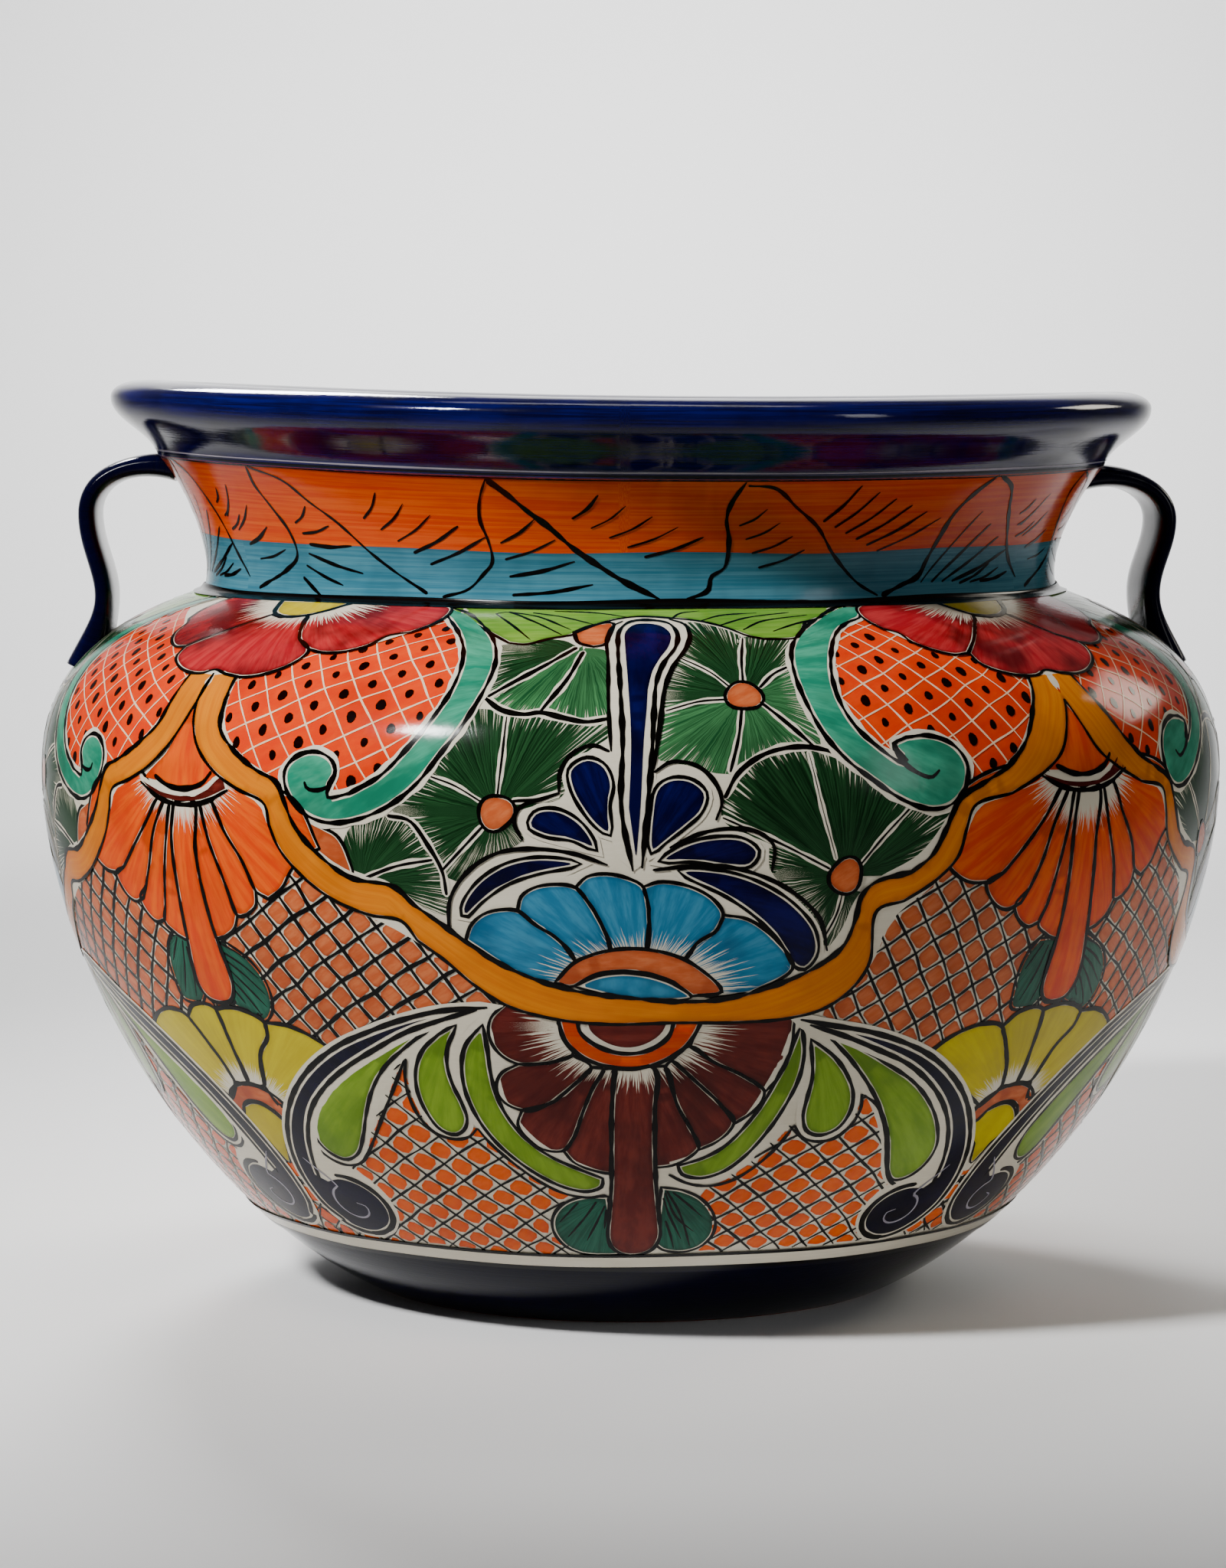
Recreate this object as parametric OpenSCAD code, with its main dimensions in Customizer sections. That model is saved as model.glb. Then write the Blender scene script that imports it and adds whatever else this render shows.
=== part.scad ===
// Wide-mouthed talavera pot with a rolled rim and two strap handles.
// The pot stands on z = 0 with its axis on Z. Its front looks along -Y, and its handles lie on X.

/* [Body] */
// Largest diameter of the pot, at its belly
belly_d = 440; // [360:5:520]
// Height of the belly, where the pot is widest
belly_z = 193; // [180:1:200]
// Diameter of the flat face that the pot stands on
foot_d = 200; // [170:2:220]
// Thickness of the fired wall
wall_t = 9.5; // [8:0.5:11]
// Thickness of the floor
floor_t = 12; // [10:0.5:16]

/* [Neck and rim] */
// Diameter of the crease where the neck stands on the shoulder
neck_d = 319; // [309:2:329]
// Height of that crease
neck_z = 260; // [256:0.5:264]
// Diameter of the neck's flared top, under the rim
collar_d = 353; // [347:2:359]
// Height of the neck's flared top
collar_z = 306.5; // [302.5:1:309.5]
// Largest diameter of the rolled rim
rim_d = 388; // [382:1:396]
// Height of the whole pot
rim_z = 335; // [332:1:340]

/* [Handles] */
// How far out from the axis the middle of the strap reaches, at the top of its bend
handle_reach = 202; // [198:1:208]
// Distance from the axis to the middle of the strap at its waist
handle_waist = 196; // [193:1:200]
// Width of the strap that each handle is bent from
strap_w = 38; // [28:1:46]
// Thickness of the strap at its slimmest
strap_t = 7.4; // [6:0.2:9]
// How far the right handle sits round towards the back, in degrees
right_handle_turn = 7; // [0:1:12]

/* [Smoothness] */
// Steps along each curve of the outline
curve_steps = 14; // [8:1:20]

/* [Hidden] */
$fn = 128;

belly_r = belly_d / 2;
foot_r = foot_d / 2;
neck_r = neck_d / 2;
collar_r = collar_d / 2;
rim_r = rim_d / 2;
lip_z = rim_z - 7;

// A point of the Bezier curve with control points p, at t from 0 to 1.
function bezier(p, t) =
    pow(1 - t, 3) * p[0] + 3 * pow(1 - t, 2) * t * p[1] + 3 * (1 - t) * t * t * p[2] + pow(t, 3) * p[3];

// The direction in which that curve runs at t.
function bezier_run(p, t) =
    pow(1 - t, 2) * (p[1] - p[0]) + 2 * (1 - t) * t * (p[2] - p[1]) + t * t * (p[3] - p[2]);

// Outside of the wall as (radius, height), in four stretches from the foot to the lip.
outer_curves = [
    [[foot_r, 0], [foot_r + 63, 29], [belly_r, belly_z - 71], [belly_r, belly_z]],
    [[belly_r, belly_z], [belly_r, belly_z + 40], [neck_r + 34, neck_z - 12.5], [neck_r, neck_z]],
    [[neck_r, neck_z], [neck_r - 4, neck_z + 12], [collar_r - 10, collar_z - 11], [collar_r, collar_z]],
    [[collar_r, collar_z], [collar_r + 3, collar_z + 9], [rim_r, lip_z - 9], [rim_r, lip_z]]
];

// Inside of the wall, in the same four stretches.
mouth_r = collar_r - 1.4 * wall_t;
inner_curves = [
    [[foot_r - 6, floor_t], [foot_r + 52, floor_t + 19],
     [belly_r - wall_t, belly_z - 66], [belly_r - wall_t, belly_z]],
    [[belly_r - wall_t, belly_z], [belly_r - wall_t, belly_z + 33],
     [neck_r + 20, neck_z - 19], [neck_r - wall_t - 1, neck_z - 6]],
    [[neck_r - wall_t - 1, neck_z - 6], [neck_r - wall_t - 6, neck_z + 10],
     [mouth_r - 8, collar_z - 14], [mouth_r, collar_z - 1]],
    [[mouth_r, collar_z - 1], [mouth_r + 4, collar_z + 5], [mouth_r, lip_z - 9], [mouth_r, lip_z - 3]]
];

// Stations along the wall: the whole number picks the stretch, the fraction the place along it.
foot_seam = 0.22;
belly_seam = 1;
neck_seam = 2;
collar_seam = 3;
lip = 4;
// Length of the half-lap at each seam, as a fraction of a stretch.
lap = 0.05;

function stretch(u) = min(floor(u), 3);

// A point in the wall at station u, with depth from 0 outside to 1 inside.
function wall(u, depth) =
    bezier(outer_curves[stretch(u)], u - stretch(u)) * (1 - depth)
    + bezier(inner_curves[stretch(u)], u - stretch(u)) * depth;

// Points of the wall from station u0 to station u1 at one depth, both ends included.
function wall_line(u0, u1, depth) =
    let (count = max(1, ceil(abs(u1 - u0) * curve_steps)))
    [for (i = [0 : count]) wall(u0 + (u1 - u0) * i / count, depth)];

// A seam's half-lap, from outside to inside: the piece below keeps a tongue on its inner half.
function half_lap(u) = [wall(u, 0), wall(u, 0.5), wall(u + lap, 0.5), wall(u + lap, 1)];

function reversed(list) = [for (i = [len(list) - 1 : -1 : 0]) list[i]];
function inside_of(list) = [for (i = [1 : len(list) - 2]) list[i]];

// One ring of the wall between two seams.
module wall_ring(u0, u1) {
    rotate_extrude()
        polygon(concat(
            wall_line(u0, u1, 0),
            inside_of(half_lap(u1)),
            wall_line(u1 + lap, u0 + lap, 1),
            inside_of(reversed(half_lap(u0)))
        ));
}

// Shallow dish that the pot stands on: the floor with the turned-up start of the wall.
module base_dish() {
    color("midnightblue")
        rotate_extrude()
            polygon(concat(
                [[0, 0]],
                wall_line(0, foot_seam, 0),
                inside_of(half_lap(foot_seam)),
                wall_line(foot_seam + lap, 0, 1),
                [[0, floor_t]]
            ));
}

// Lower half of the body, from the dish to the belly.
module lower_bowl() {
    color("chocolate")
        wall_ring(foot_seam, belly_seam);
}

// Upper half of the body, closing in from the belly to the neck.
module shoulder() {
    color("seagreen")
        wall_ring(belly_seam, neck_seam);
}

// Hollow neck that flares up and out to the rim.
module neck_collar() {
    color("orangered")
        wall_ring(neck_seam, collar_seam);
}

// Thick coil rolled outwards round the mouth.
module rim_roll() {
    crest_r = rim_r - 14;
    outer_roll = [wall(lip, 0), [rim_r, rim_z - 2], [crest_r + 7, rim_z], [crest_r, rim_z]];
    inner_roll = [[crest_r, rim_z], [crest_r - 8, rim_z], wall(lip, 1) + [0, 5], wall(lip, 1)];
    color("navy")
        rotate_extrude()
            polygon(concat(
                wall_line(collar_seam, lip, 0),
                [for (i = [1 : curve_steps]) bezier(outer_roll, i / curve_steps)],
                [for (i = [1 : curve_steps]) bezier(inner_roll, i / curve_steps)],
                inside_of(wall_line(lip, collar_seam + lap, 1)),
                [wall(collar_seam + lap, 1)],
                inside_of(reversed(half_lap(collar_seam)))
            ));
}

// Middle line of a handle's strap as (distance from the axis, height), from the neck to the shoulder.
bend_z = collar_z - 21;
waist_z = neck_z - 3.5;
strap_curves = [
    [[collar_r - 8, collar_z - 4.5], [collar_r + 8, collar_z - 1.5],
     [handle_reach, bend_z + 14], [handle_reach, bend_z]],
    [[handle_reach, bend_z], [handle_reach, bend_z - 11],
     [handle_waist, waist_z + 10], [handle_waist, waist_z]],
    [[handle_waist, waist_z], [handle_waist, waist_z - 8],
     [handle_waist + 3, waist_z - 14], [handle_waist + 7, waist_z - 27]]
];

// Half the strap's thickness: it is slim in the middle, and pressed out wide where it is joined on.
function strap_half(u) = strap_t / 2 + 1.6 * pow(max(0, 1 - u / 0.6), 2) + 4 * pow(max(0, u - 2), 2);

// A point on one face of the strap, at station u from 0 to 3. side is 1 for the outer face, -1 for the inner.
function strap_point(u, side) =
    let (
        k = min(floor(u), 2),
        run = bezier_run(strap_curves[k], u - k),
        out = [-run[1], run[0]] / norm(run)
    )
    bezier(strap_curves[k], u - k) + out * side * strap_half(u);

strap_steps = 3 * curve_steps;

// The strap, cut off where it meets the outside of the neck and the shoulder.
module handle() {
    difference() {
        rotate([90, 0, 0])
            linear_extrude(height = strap_w, center = true)
                polygon(concat(
                    [for (i = [0 : strap_steps]) strap_point(3 * i / strap_steps, 1)],
                    [for (i = [strap_steps : -1 : 0]) strap_point(3 * i / strap_steps, -1)]
                ));
        rotate_extrude()
            polygon(concat(
                [[0, belly_z]],
                wall_line(belly_seam, neck_seam, 0),
                inside_of(wall_line(neck_seam, collar_seam, 0)),
                wall_line(collar_seam, lip, 0),
                [[0, lip_z]]
            ));
    }
}

module left_handle() {
    color("darkslateblue")
        rotate([0, 0, 180])
            handle();
}

module right_handle() {
    color("darkslateblue")
        rotate([0, 0, right_handle_turn])
            handle();
}

base_dish();
lower_bowl();
shoulder();
neck_collar();
rim_roll();
left_handle();
right_handle();
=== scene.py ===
"""Looks of the talavera jar: smooth glazed skins over the CAD pieces, and the painted decoration on them."""
import math
import random

import bpy
import numpy as np
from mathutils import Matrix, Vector, geometry


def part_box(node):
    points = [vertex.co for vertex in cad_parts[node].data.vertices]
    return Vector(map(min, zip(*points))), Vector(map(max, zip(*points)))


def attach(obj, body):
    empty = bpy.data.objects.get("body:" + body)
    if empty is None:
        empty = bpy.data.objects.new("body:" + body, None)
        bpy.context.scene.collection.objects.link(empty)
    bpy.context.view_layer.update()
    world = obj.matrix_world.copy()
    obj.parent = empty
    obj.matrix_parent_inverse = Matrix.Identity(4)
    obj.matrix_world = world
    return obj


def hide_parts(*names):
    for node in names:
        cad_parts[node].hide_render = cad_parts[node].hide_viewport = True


MM = 0.001
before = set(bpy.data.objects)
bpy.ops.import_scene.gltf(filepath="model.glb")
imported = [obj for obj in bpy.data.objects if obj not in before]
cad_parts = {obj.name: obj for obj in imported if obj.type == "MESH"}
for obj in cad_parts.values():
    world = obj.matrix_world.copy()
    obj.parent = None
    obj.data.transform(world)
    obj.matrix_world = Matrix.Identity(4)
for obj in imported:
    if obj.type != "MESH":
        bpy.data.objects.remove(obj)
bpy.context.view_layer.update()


def box_mm(node):
    """Lowest and highest corner of a CAD node, in millimetres."""
    low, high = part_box(node)
    return [c / MM for c in low], [c / MM for c in high]


# ---------------------------------------------------------------- outline of the wall, from the CAD's own sizes
belly_r = box_mm("lower_bowl")[1][0]
belly_z = box_mm("shoulder")[0][2]
collar_r = box_mm("neck_collar")[1][0]
rim_r = box_mm("rim_roll")[1][0]
rim_z = box_mm("rim_roll")[1][2]
foot_r = 100
floor_t = 12
wall_t = 9.5
neck_r, neck_z = 159.5, 260
collar_z = 306.5
lip_z = rim_z - 7
mouth_r = collar_r - 1.4 * wall_t
crest_r = rim_r - 14
inner_r = belly_r - wall_t
throat_r = neck_r - wall_t - 1
foot_seam = 0.22    # how far up the lowest curve the base dish ends
CURVE_STEPS = 399   # steps along each curve of the outline

OUTER = [
    [(foot_r, 0), (foot_r + 63, 29), (belly_r, belly_z - 71), (belly_r, belly_z)],
    [(belly_r, belly_z), (belly_r, belly_z + 40), (neck_r + 34, neck_z - 12.5), (neck_r, neck_z)],
    [(neck_r, neck_z), (neck_r - 4, neck_z + 12), (collar_r - 10, collar_z - 11), (collar_r, collar_z)],
    [(collar_r, collar_z), (collar_r + 3, collar_z + 9), (rim_r, lip_z - 9), (rim_r, lip_z)],
]
INNER = [
    [(foot_r - 6, floor_t), (foot_r + 52, floor_t + 19), (inner_r, belly_z - 66), (inner_r, belly_z)],
    [(inner_r, belly_z), (inner_r, belly_z + 33), (neck_r + 20, neck_z - 19), (throat_r, neck_z - 6)],
    [(throat_r, neck_z - 6), (throat_r - 5, neck_z + 10), (mouth_r - 8, collar_z - 14), (mouth_r, collar_z - 1)],
    [(mouth_r, collar_z - 1), (mouth_r + 4, collar_z + 5), (mouth_r, lip_z - 9), (mouth_r, lip_z - 3)],
]
OUTER_ROLL = [(rim_r, lip_z), (rim_r, rim_z - 2), (crest_r + 7, rim_z), (crest_r, rim_z)]
INNER_ROLL = [(crest_r, rim_z), (crest_r - 8, rim_z), (mouth_r, lip_z + 2), (mouth_r, lip_z - 3)]


def bezier(p, t):
    """Points of a cubic Bezier curve, at the values t from 0 to 1."""
    p = np.array(p, float)
    t = np.atleast_1d(t)[:, None]
    return (1 - t) ** 3 * p[0] + 3 * (1 - t) ** 2 * t * p[1] + 3 * (1 - t) * t * t * p[2] + t ** 3 * p[3]


def chain(curves):
    """One fine polyline along several joined curves."""
    parts = [bezier(c, np.linspace(0, 1, CURVE_STEPS + 1))[(1 if i else 0):] for i, c in enumerate(curves)]
    return np.vstack(parts)


def lengths(line):
    """Distance of each point of a polyline from its start."""
    return np.r_[0, np.cumsum(np.hypot(*np.diff(line, axis=0).T))]


OUT_LINE = chain(OUTER + [OUTER_ROLL])
OUT_S = lengths(OUT_LINE)
# Distances along the outside, from the foot's edge: the neck's narrowest place, and the seam over the base dish.
S_NECK = OUT_S[2 * CURVE_STEPS]
S_SEAM = OUT_S[round(CURVE_STEPS * foot_seam)]
WALL_SWAY = 0.0011  # how much the wall sways in and out, as a share of its radius
DIP_RISE = 42       # the rim's dip grows from nothing to its whole over this height above the neck
SKIN = -0.7         # the cream glaze lies this far inside the CAD's surface, so that the paint stays within it
LEVEL = 0.06        # each coat of paint lies this much higher than the one below
PAST_FEATHER = 900  # so far along a brush mark that no feathered end shows
PAST_POOL = 9       # so far in from an edge that no pooled glaze shows


def mm_per_degree(s):
    """Width of one degree of the outside, at distance s along the outline."""
    return np.interp(s, OUT_S, OUT_LINE[:, 0]) * math.pi / 180


def hand_made(angle, r, z):
    """The small unevenness of a hand-built pot: a swaying wall, and a rim that dips at the front and back."""
    t = np.radians(angle)
    sway = 1 + 0.5 * np.sin(2 * t + 0.7 + z * 0.01) + 0.5 * np.sin(3 * t - 1.3 + z * 0.02)
    lift = np.clip((z - neck_z) / DIP_RISE, 0, 1)
    lift = lift * lift * (3 - 2 * lift)
    dip = -2 * (1 + np.cos(2 * t)) - 2.2 * np.sin(t)
    return r * (1 - WALL_SWAY * sway), z + lift * dip


def placed(angle, r, z):
    """Metres, from degrees round the axis (0 is the front, and positive is to the right), radius and height."""
    r, z = hand_made(angle, r, z)
    t = np.radians(angle)
    return np.stack([r * np.sin(t), -r * np.cos(t), z], -1) * MM


def on_pot(angle, s, lift):
    """A point of the outside at distance s along the outline, lifted off the surface by so many millimetres."""
    angle, s, lift = [np.asarray(v, float) for v in (angle, s, lift)]
    run = 0.5
    r, z = [np.interp(s, OUT_S, OUT_LINE[:, k]) for k in (0, 1)]
    dr, dz = [np.interp(s + run, OUT_S, OUT_LINE[:, k]) - np.interp(s - run, OUT_S, OUT_LINE[:, k])
              for k in (0, 1)]
    size = np.hypot(dr, dz) + 1e-9
    return placed(angle, r + lift * dz / size, z - lift * dr / size)


def pot_normal(angle, s):
    """Which way the outside faces, at distance s along the outline."""
    angle, s = [np.asarray(v, float) for v in (angle, s)]
    across = on_pot(angle + 0.1, s, 0 * s) - on_pot(angle - 0.1, s, 0 * s)
    up = on_pot(angle, s + 0.4, 0 * s) - on_pot(angle, s - 0.4, 0 * s)
    n = np.cross(across, up)
    return n / np.linalg.norm(n, axis=-1, keepdims=True)


# ---------------------------------------------------------------- meshes
def build(name, co, faces, materials, brush, normals=None, material_of=None, cad=()):
    """One named piece with its materials. brush is what the glaze's brush marks follow."""
    mesh = bpy.data.meshes.new(name)
    mesh.from_pydata(co.tolist(), [], faces)
    for m in materials:
        mesh.materials.append(m)
    if material_of is not None:
        mesh.polygons.foreach_set("material_index", material_of)
    marks = mesh.attributes.new("brush", "FLOAT_VECTOR", "POINT")
    marks.data.foreach_set("vector", brush.astype(np.float32).ravel())
    mesh.polygons.foreach_set("use_smooth", [True] * len(mesh.polygons))
    if normals is not None:
        mesh.normals_split_custom_set_from_vertices(normals.tolist())
    mesh.validate()
    obj = bpy.data.objects.new(name, mesh)
    bpy.context.scene.collection.objects.link(obj)
    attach(obj, "root")
    if cad:
        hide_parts(*cad)
    return obj


def lathe(name, section, kinds, materials, cad, around=256):
    """Turns a closed section, listed as (radius, height) anticlockwise, into a ring.

    kinds picks each edge's material.
    """
    n = len(section)
    section = np.array(section, float)
    run = lengths(np.vstack([section, section[:1]]))
    turn = np.arange(around) * 360 / around
    co, brush, start = [], [], []
    for k, (r, z) in enumerate(section):
        start.append(sum(len(part) for part in co))
        at = turn if r > 0 else turn[:1]
        co.append(placed(at, r + 0 * at, z + 0 * at))
        brush.append(np.stack([np.radians(at) * r, run[k] + 0 * at, PAST_POOL + 0 * at], -1))
    faces, index = [], []
    for k in range(n):
        m = (k + 1) % n
        if section[k][0] == 0 and section[m][0] == 0:
            continue
        for i in range(around):
            j = (i + 1) % around
            low = [start[k]] if section[k][0] == 0 else [start[k] + i, start[k] + j]
            high = [start[m]] if section[m][0] == 0 else [start[m] + j, start[m] + i]
            faces.append(tuple(low + high))
            index.append(kinds[k])
    obj = build(name, np.vstack(co), faces, materials, np.vstack(brush), material_of=index, cad=cad)
    obj.data.set_sharp_from_angle(angle=math.radians(35))
    return obj


def points_along(curve, t0, t1, steps, depth=0.0):
    """Points of a curve from t0 to t1, moved sideways by depth (positive is to the left of its run)."""
    t = np.linspace(t0, t1, steps + 1)
    p = bezier(curve, t)
    q = bezier(curve, np.clip(t + 0.004, 0, 1)) - bezier(curve, np.clip(t - 0.004, 0, 1))
    q /= np.linalg.norm(q, axis=1, keepdims=True)
    return p + depth * np.stack([-q[:, 1], q[:, 0]], -1)


# ---------------------------------------------------------------- glazes
DEPTH_OF_COLOUR = 1.22
CREAM = "d9d2c0"
POOL_WIDTH = 1.6    # how far in from its edge a glaze pools, in millimetres


def srgb(code):
    """Colour from a six-digit code, deepened a little, as the clear glaze over the paint deepens it."""
    channels = [int(code[k:k + 2], 16) / 255 for k in (0, 2, 4)]
    linear = [c / 12.92 if c <= 0.04045 else ((c + 0.055) / 1.055) ** 2.4 for c in channels]
    return tuple(0.85 * c ** DEPTH_OF_COLOUR for c in linear) + (1.0,)


class Nodes:
    """Small helper that makes shader nodes and joins them."""

    def __init__(self, name):
        self.material = bpy.data.materials.new(name)
        self.material.use_nodes = True
        self.tree = self.material.node_tree
        self.shader = self.tree.nodes["Principled BSDF"]

    def add(self, kind, inputs=None, **settings):
        node = self.tree.nodes.new("ShaderNode" + kind)
        for key, value in settings.items():
            setattr(node, key, value)
        for key, value in (inputs or {}).items():
            self.put(node.inputs[key], value)
        return node

    def put(self, socket, value):
        if isinstance(value, bpy.types.NodeSocket):
            self.tree.links.new(value, socket)
        else:
            socket.default_value = value

    def math(self, operation, *values):
        return self.add("Math", dict(enumerate(values)), operation=operation).outputs[0]

    def ramp(self, value, low, high, to_low=0.0, to_high=1.0):
        inputs = {"Value": value, "From Min": low, "From Max": high, "To Min": to_low, "To Max": to_high}
        return self.add("MapRange", inputs, interpolation_type="SMOOTHSTEP").outputs[0]

    def mix(self, factor, a, b):
        return self.add("Mix", {0: factor, 6: a, 7: b}, data_type="RGBA").outputs[2]

    def noise(self, vector, scale, detail=2.0, rough=0.5):
        inputs = {"Vector": vector, "Scale": scale, "Detail": detail, "Roughness": rough}
        return self.add("TexNoise", inputs).outputs[0]


def glaze(name, base, light, dark, streaks=(0.9, 0.05), streak=0.6, feather=0.0, pool=0.55, rough=0.09,
          mottle=0.35, relief=0.25, gloss=0.1):
    """A brushed glaze: streaks along the brush marks, pooled edges, and feathered ends if feather is above 0.

    The brush attribute holds the distance along the stroke, across it, and in from the edge, in millimetres.
    """
    n = Nodes(name)
    brush = n.add("Attribute", attribute_name="brush")
    along, across, edge = n.add("SeparateXYZ", {0: brush.outputs["Vector"]}).outputs[:3]
    place = n.add("TexCoord").outputs["Object"]
    stroke = n.add("CombineXYZ", {0: n.math("MULTIPLY", across, streaks[0]),
                                  1: n.math("MULTIPLY", along, streaks[1])}).outputs[0]
    bristle = n.noise(stroke, 1.0, 4.0, 0.65)
    cloud = n.noise(place, 34.0, 3.0, 0.6)
    tone = n.ramp(bristle, 0.36, 0.66)
    colour = n.mix(n.math("MULTIPLY", tone, streak), srgb(base), srgb(light))
    colour = n.mix(n.math("MULTIPLY", n.ramp(cloud, 0.42, 0.68), mottle), colour, srgb(dark))
    pooled = n.ramp(edge, 0.0, POOL_WIDTH, pool, 0.0)
    colour = n.mix(pooled, colour, srgb(dark))
    if feather:
        row = n.add("CombineXYZ", {0: n.math("MULTIPLY", across, 1.1), 1: 0.0}).outputs[0]
        spikes = n.noise(row, 1.0, 3.0, 0.65)
        reach = n.math("SUBTRACT", along, n.ramp(spikes, 0.34, 0.7, -0.7 * feather, feather))
        colour = n.mix(n.ramp(reach, -0.9, 0.9), srgb(CREAM), colour)
    bump_noise = n.noise(place, 420.0, 2.0, 0.5)
    height = n.math("ADD", n.math("MULTIPLY", bristle, relief), n.math("MULTIPLY", bump_noise, 0.25))
    bump = n.add("Bump", {"Strength": 0.22, "Distance": 0.0004, "Height": height}).outputs[0]
    n.put(n.shader.inputs["Base Color"], colour)
    n.put(n.shader.inputs["Roughness"], n.ramp(cloud, 0.3, 0.75, rough, rough + 0.09))
    n.put(n.shader.inputs["Normal"], bump)
    n.put(n.shader.inputs["IOR"], 1.5)
    n.put(n.shader.inputs["Specular IOR Level"], gloss)
    return n.material


def clay():
    """Bare fired clay, on the underside of the foot."""
    n = Nodes("bare_clay")
    place = n.add("TexCoord").outputs["Object"]
    grain = n.noise(place, 900.0, 4.0, 0.7)
    cloud = n.noise(place, 28.0, 3.0, 0.6)
    colour = n.mix(n.ramp(cloud, 0.35, 0.7), srgb("a9603c"), srgb("8a4a2e"))
    colour = n.mix(n.ramp(grain, 0.55, 0.72, 0.0, 0.5), colour, srgb("c98a62"))
    n.put(n.shader.inputs["Base Color"], colour)
    n.put(n.shader.inputs["Roughness"], 0.85)
    bump = n.add("Bump", {"Strength": 0.5, "Distance": 0.0005, "Height": grain}).outputs[0]
    n.put(n.shader.inputs["Normal"], bump)
    return n.material


GROUND = glaze("cream_ground", CREAM, "e4dece", "c4bba6", streak=0.4, mottle=0.3, relief=0.1)
INSIDE = glaze("inside_glaze", "cdc5b2", "d8d1c0", "b5ab95", streak=0.3, mottle=0.5, rough=0.16, relief=0.1)
# The foot's cobalt is a darker, duller copy of the rim's. It is its own dark blue glaze, deepened further with
# painted shade.
RIM_BLUE, STRAP_BLUE, FOOT_BLUE_SHADED = [
    glaze(name, base, light, "050516", streaks=(0.9, 0.02), streak=0.45, mottle=0.4, rough=0.06, relief=0.5,
          gloss=gloss)
    for name, base, light, gloss in (
        ("cobalt_rim", "0d0b3c", "1c1878", 0.25),
        ("cobalt_strap", "0b0a30", "15144e", 0.08),
        ("cobalt_foot_shaded", "07061c", "0e0d34", 0.05))]
ORANGE_BAND = glaze("neck_orange", "c8480e", "dd7420", "a8330a", streaks=(0.75, 0.012), streak=0.7, mottle=0.2,
                    relief=0.4)
CLAY = clay()


# ---------------------------------------------------------------- glazed skins over the CAD's pieces
def ring_section(k, t0, t1):
    """The skin of one stretch of wall: up the outside, then down the inside."""
    steps = 26
    outside = points_along(OUTER[k], t0, t1, steps, -SKIN)
    inside = points_along(INNER[k], t0, t1, steps)[::-1]
    kinds = [0] * steps + [1] * (steps + 2)
    return np.vstack([outside, inside]), kinds


def base_dish():
    """The bare underside, the dark foot, its blue darkened with painted shade, and the inside of the floor."""
    steps = 12
    foot = [(0, 1.2), (84, 1.2), (87, 0.2), (98, 0.0)]
    outside = points_along(OUTER[0], 0, foot_seam, steps, -SKIN)
    outside[0] = (foot_r - 0.6, 0.5)
    inside = points_along(INNER[0], 0, foot_seam, steps)[::-1]
    section = foot + outside.tolist() + inside.tolist() + [(70, floor_t - 0.4), (0, floor_t - 0.6)]
    kinds = [2] * len(foot) + [0] * steps + [1] * (steps + 3)
    lathe("base_dish_glazed", section, kinds, [FOOT_BLUE_SHADED, INSIDE, CLAY], ["base_dish"])


def rim_roll():
    """The rolled rim: blue outside, over the top and a little way down the inside."""
    steps = 16
    blue_inside = 5
    outside = points_along(OUTER[3], 0, 1, steps, -SKIN)
    over = points_along(OUTER_ROLL, 0, 1, steps, -SKIN)[1:]
    back = points_along(INNER_ROLL, 0, 1, steps, -SKIN)[1:]
    inside = points_along(INNER[3], 0, 1, steps)[::-1]
    section = np.vstack([outside, over, back, inside])
    kinds = [0] * (3 * steps + blue_inside) + [1] * (steps + 2 - blue_inside)
    lathe("rim_roll_glazed", section, kinds, [RIM_BLUE, INSIDE], ["rim_roll"], 320)


base_dish()
for name, k, t0, t1, coat, slot_name in [
        ("lower_bowl", 0, foot_seam, 1, GROUND, "painted_glaze"),
        ("shoulder", 1, 0, 1, GROUND, "painted_glaze"),
        ("neck_collar", 2, 0, 1, ORANGE_BAND, "neck_glaze")]:
    section, kinds = ring_section(k, t0, t1)
    lathe(name + "_glazed", section, kinds, [coat, INSIDE], [name])
rim_roll()

# ---------------------------------------------------------------- strap handles
handle_reach = 202
handle_waist = 196
strap_w = 38
strap_t = 7.4
right_handle_turn = 7
bend_z = collar_z - 21
waist_z = neck_z - 3.5
STRAP = [
    [(collar_r - 8, collar_z - 4.5), (collar_r + 8, collar_z - 1.5), (handle_reach, bend_z + 14),
     (handle_reach, bend_z)],
    [(handle_reach, bend_z), (handle_reach, bend_z - 11), (handle_waist, waist_z + 10), (handle_waist, waist_z)],
    [(handle_waist, waist_z), (handle_waist, waist_z - 8), (handle_waist + 3, waist_z - 14),
     (handle_waist + 7, waist_z - 27)],
]


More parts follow.
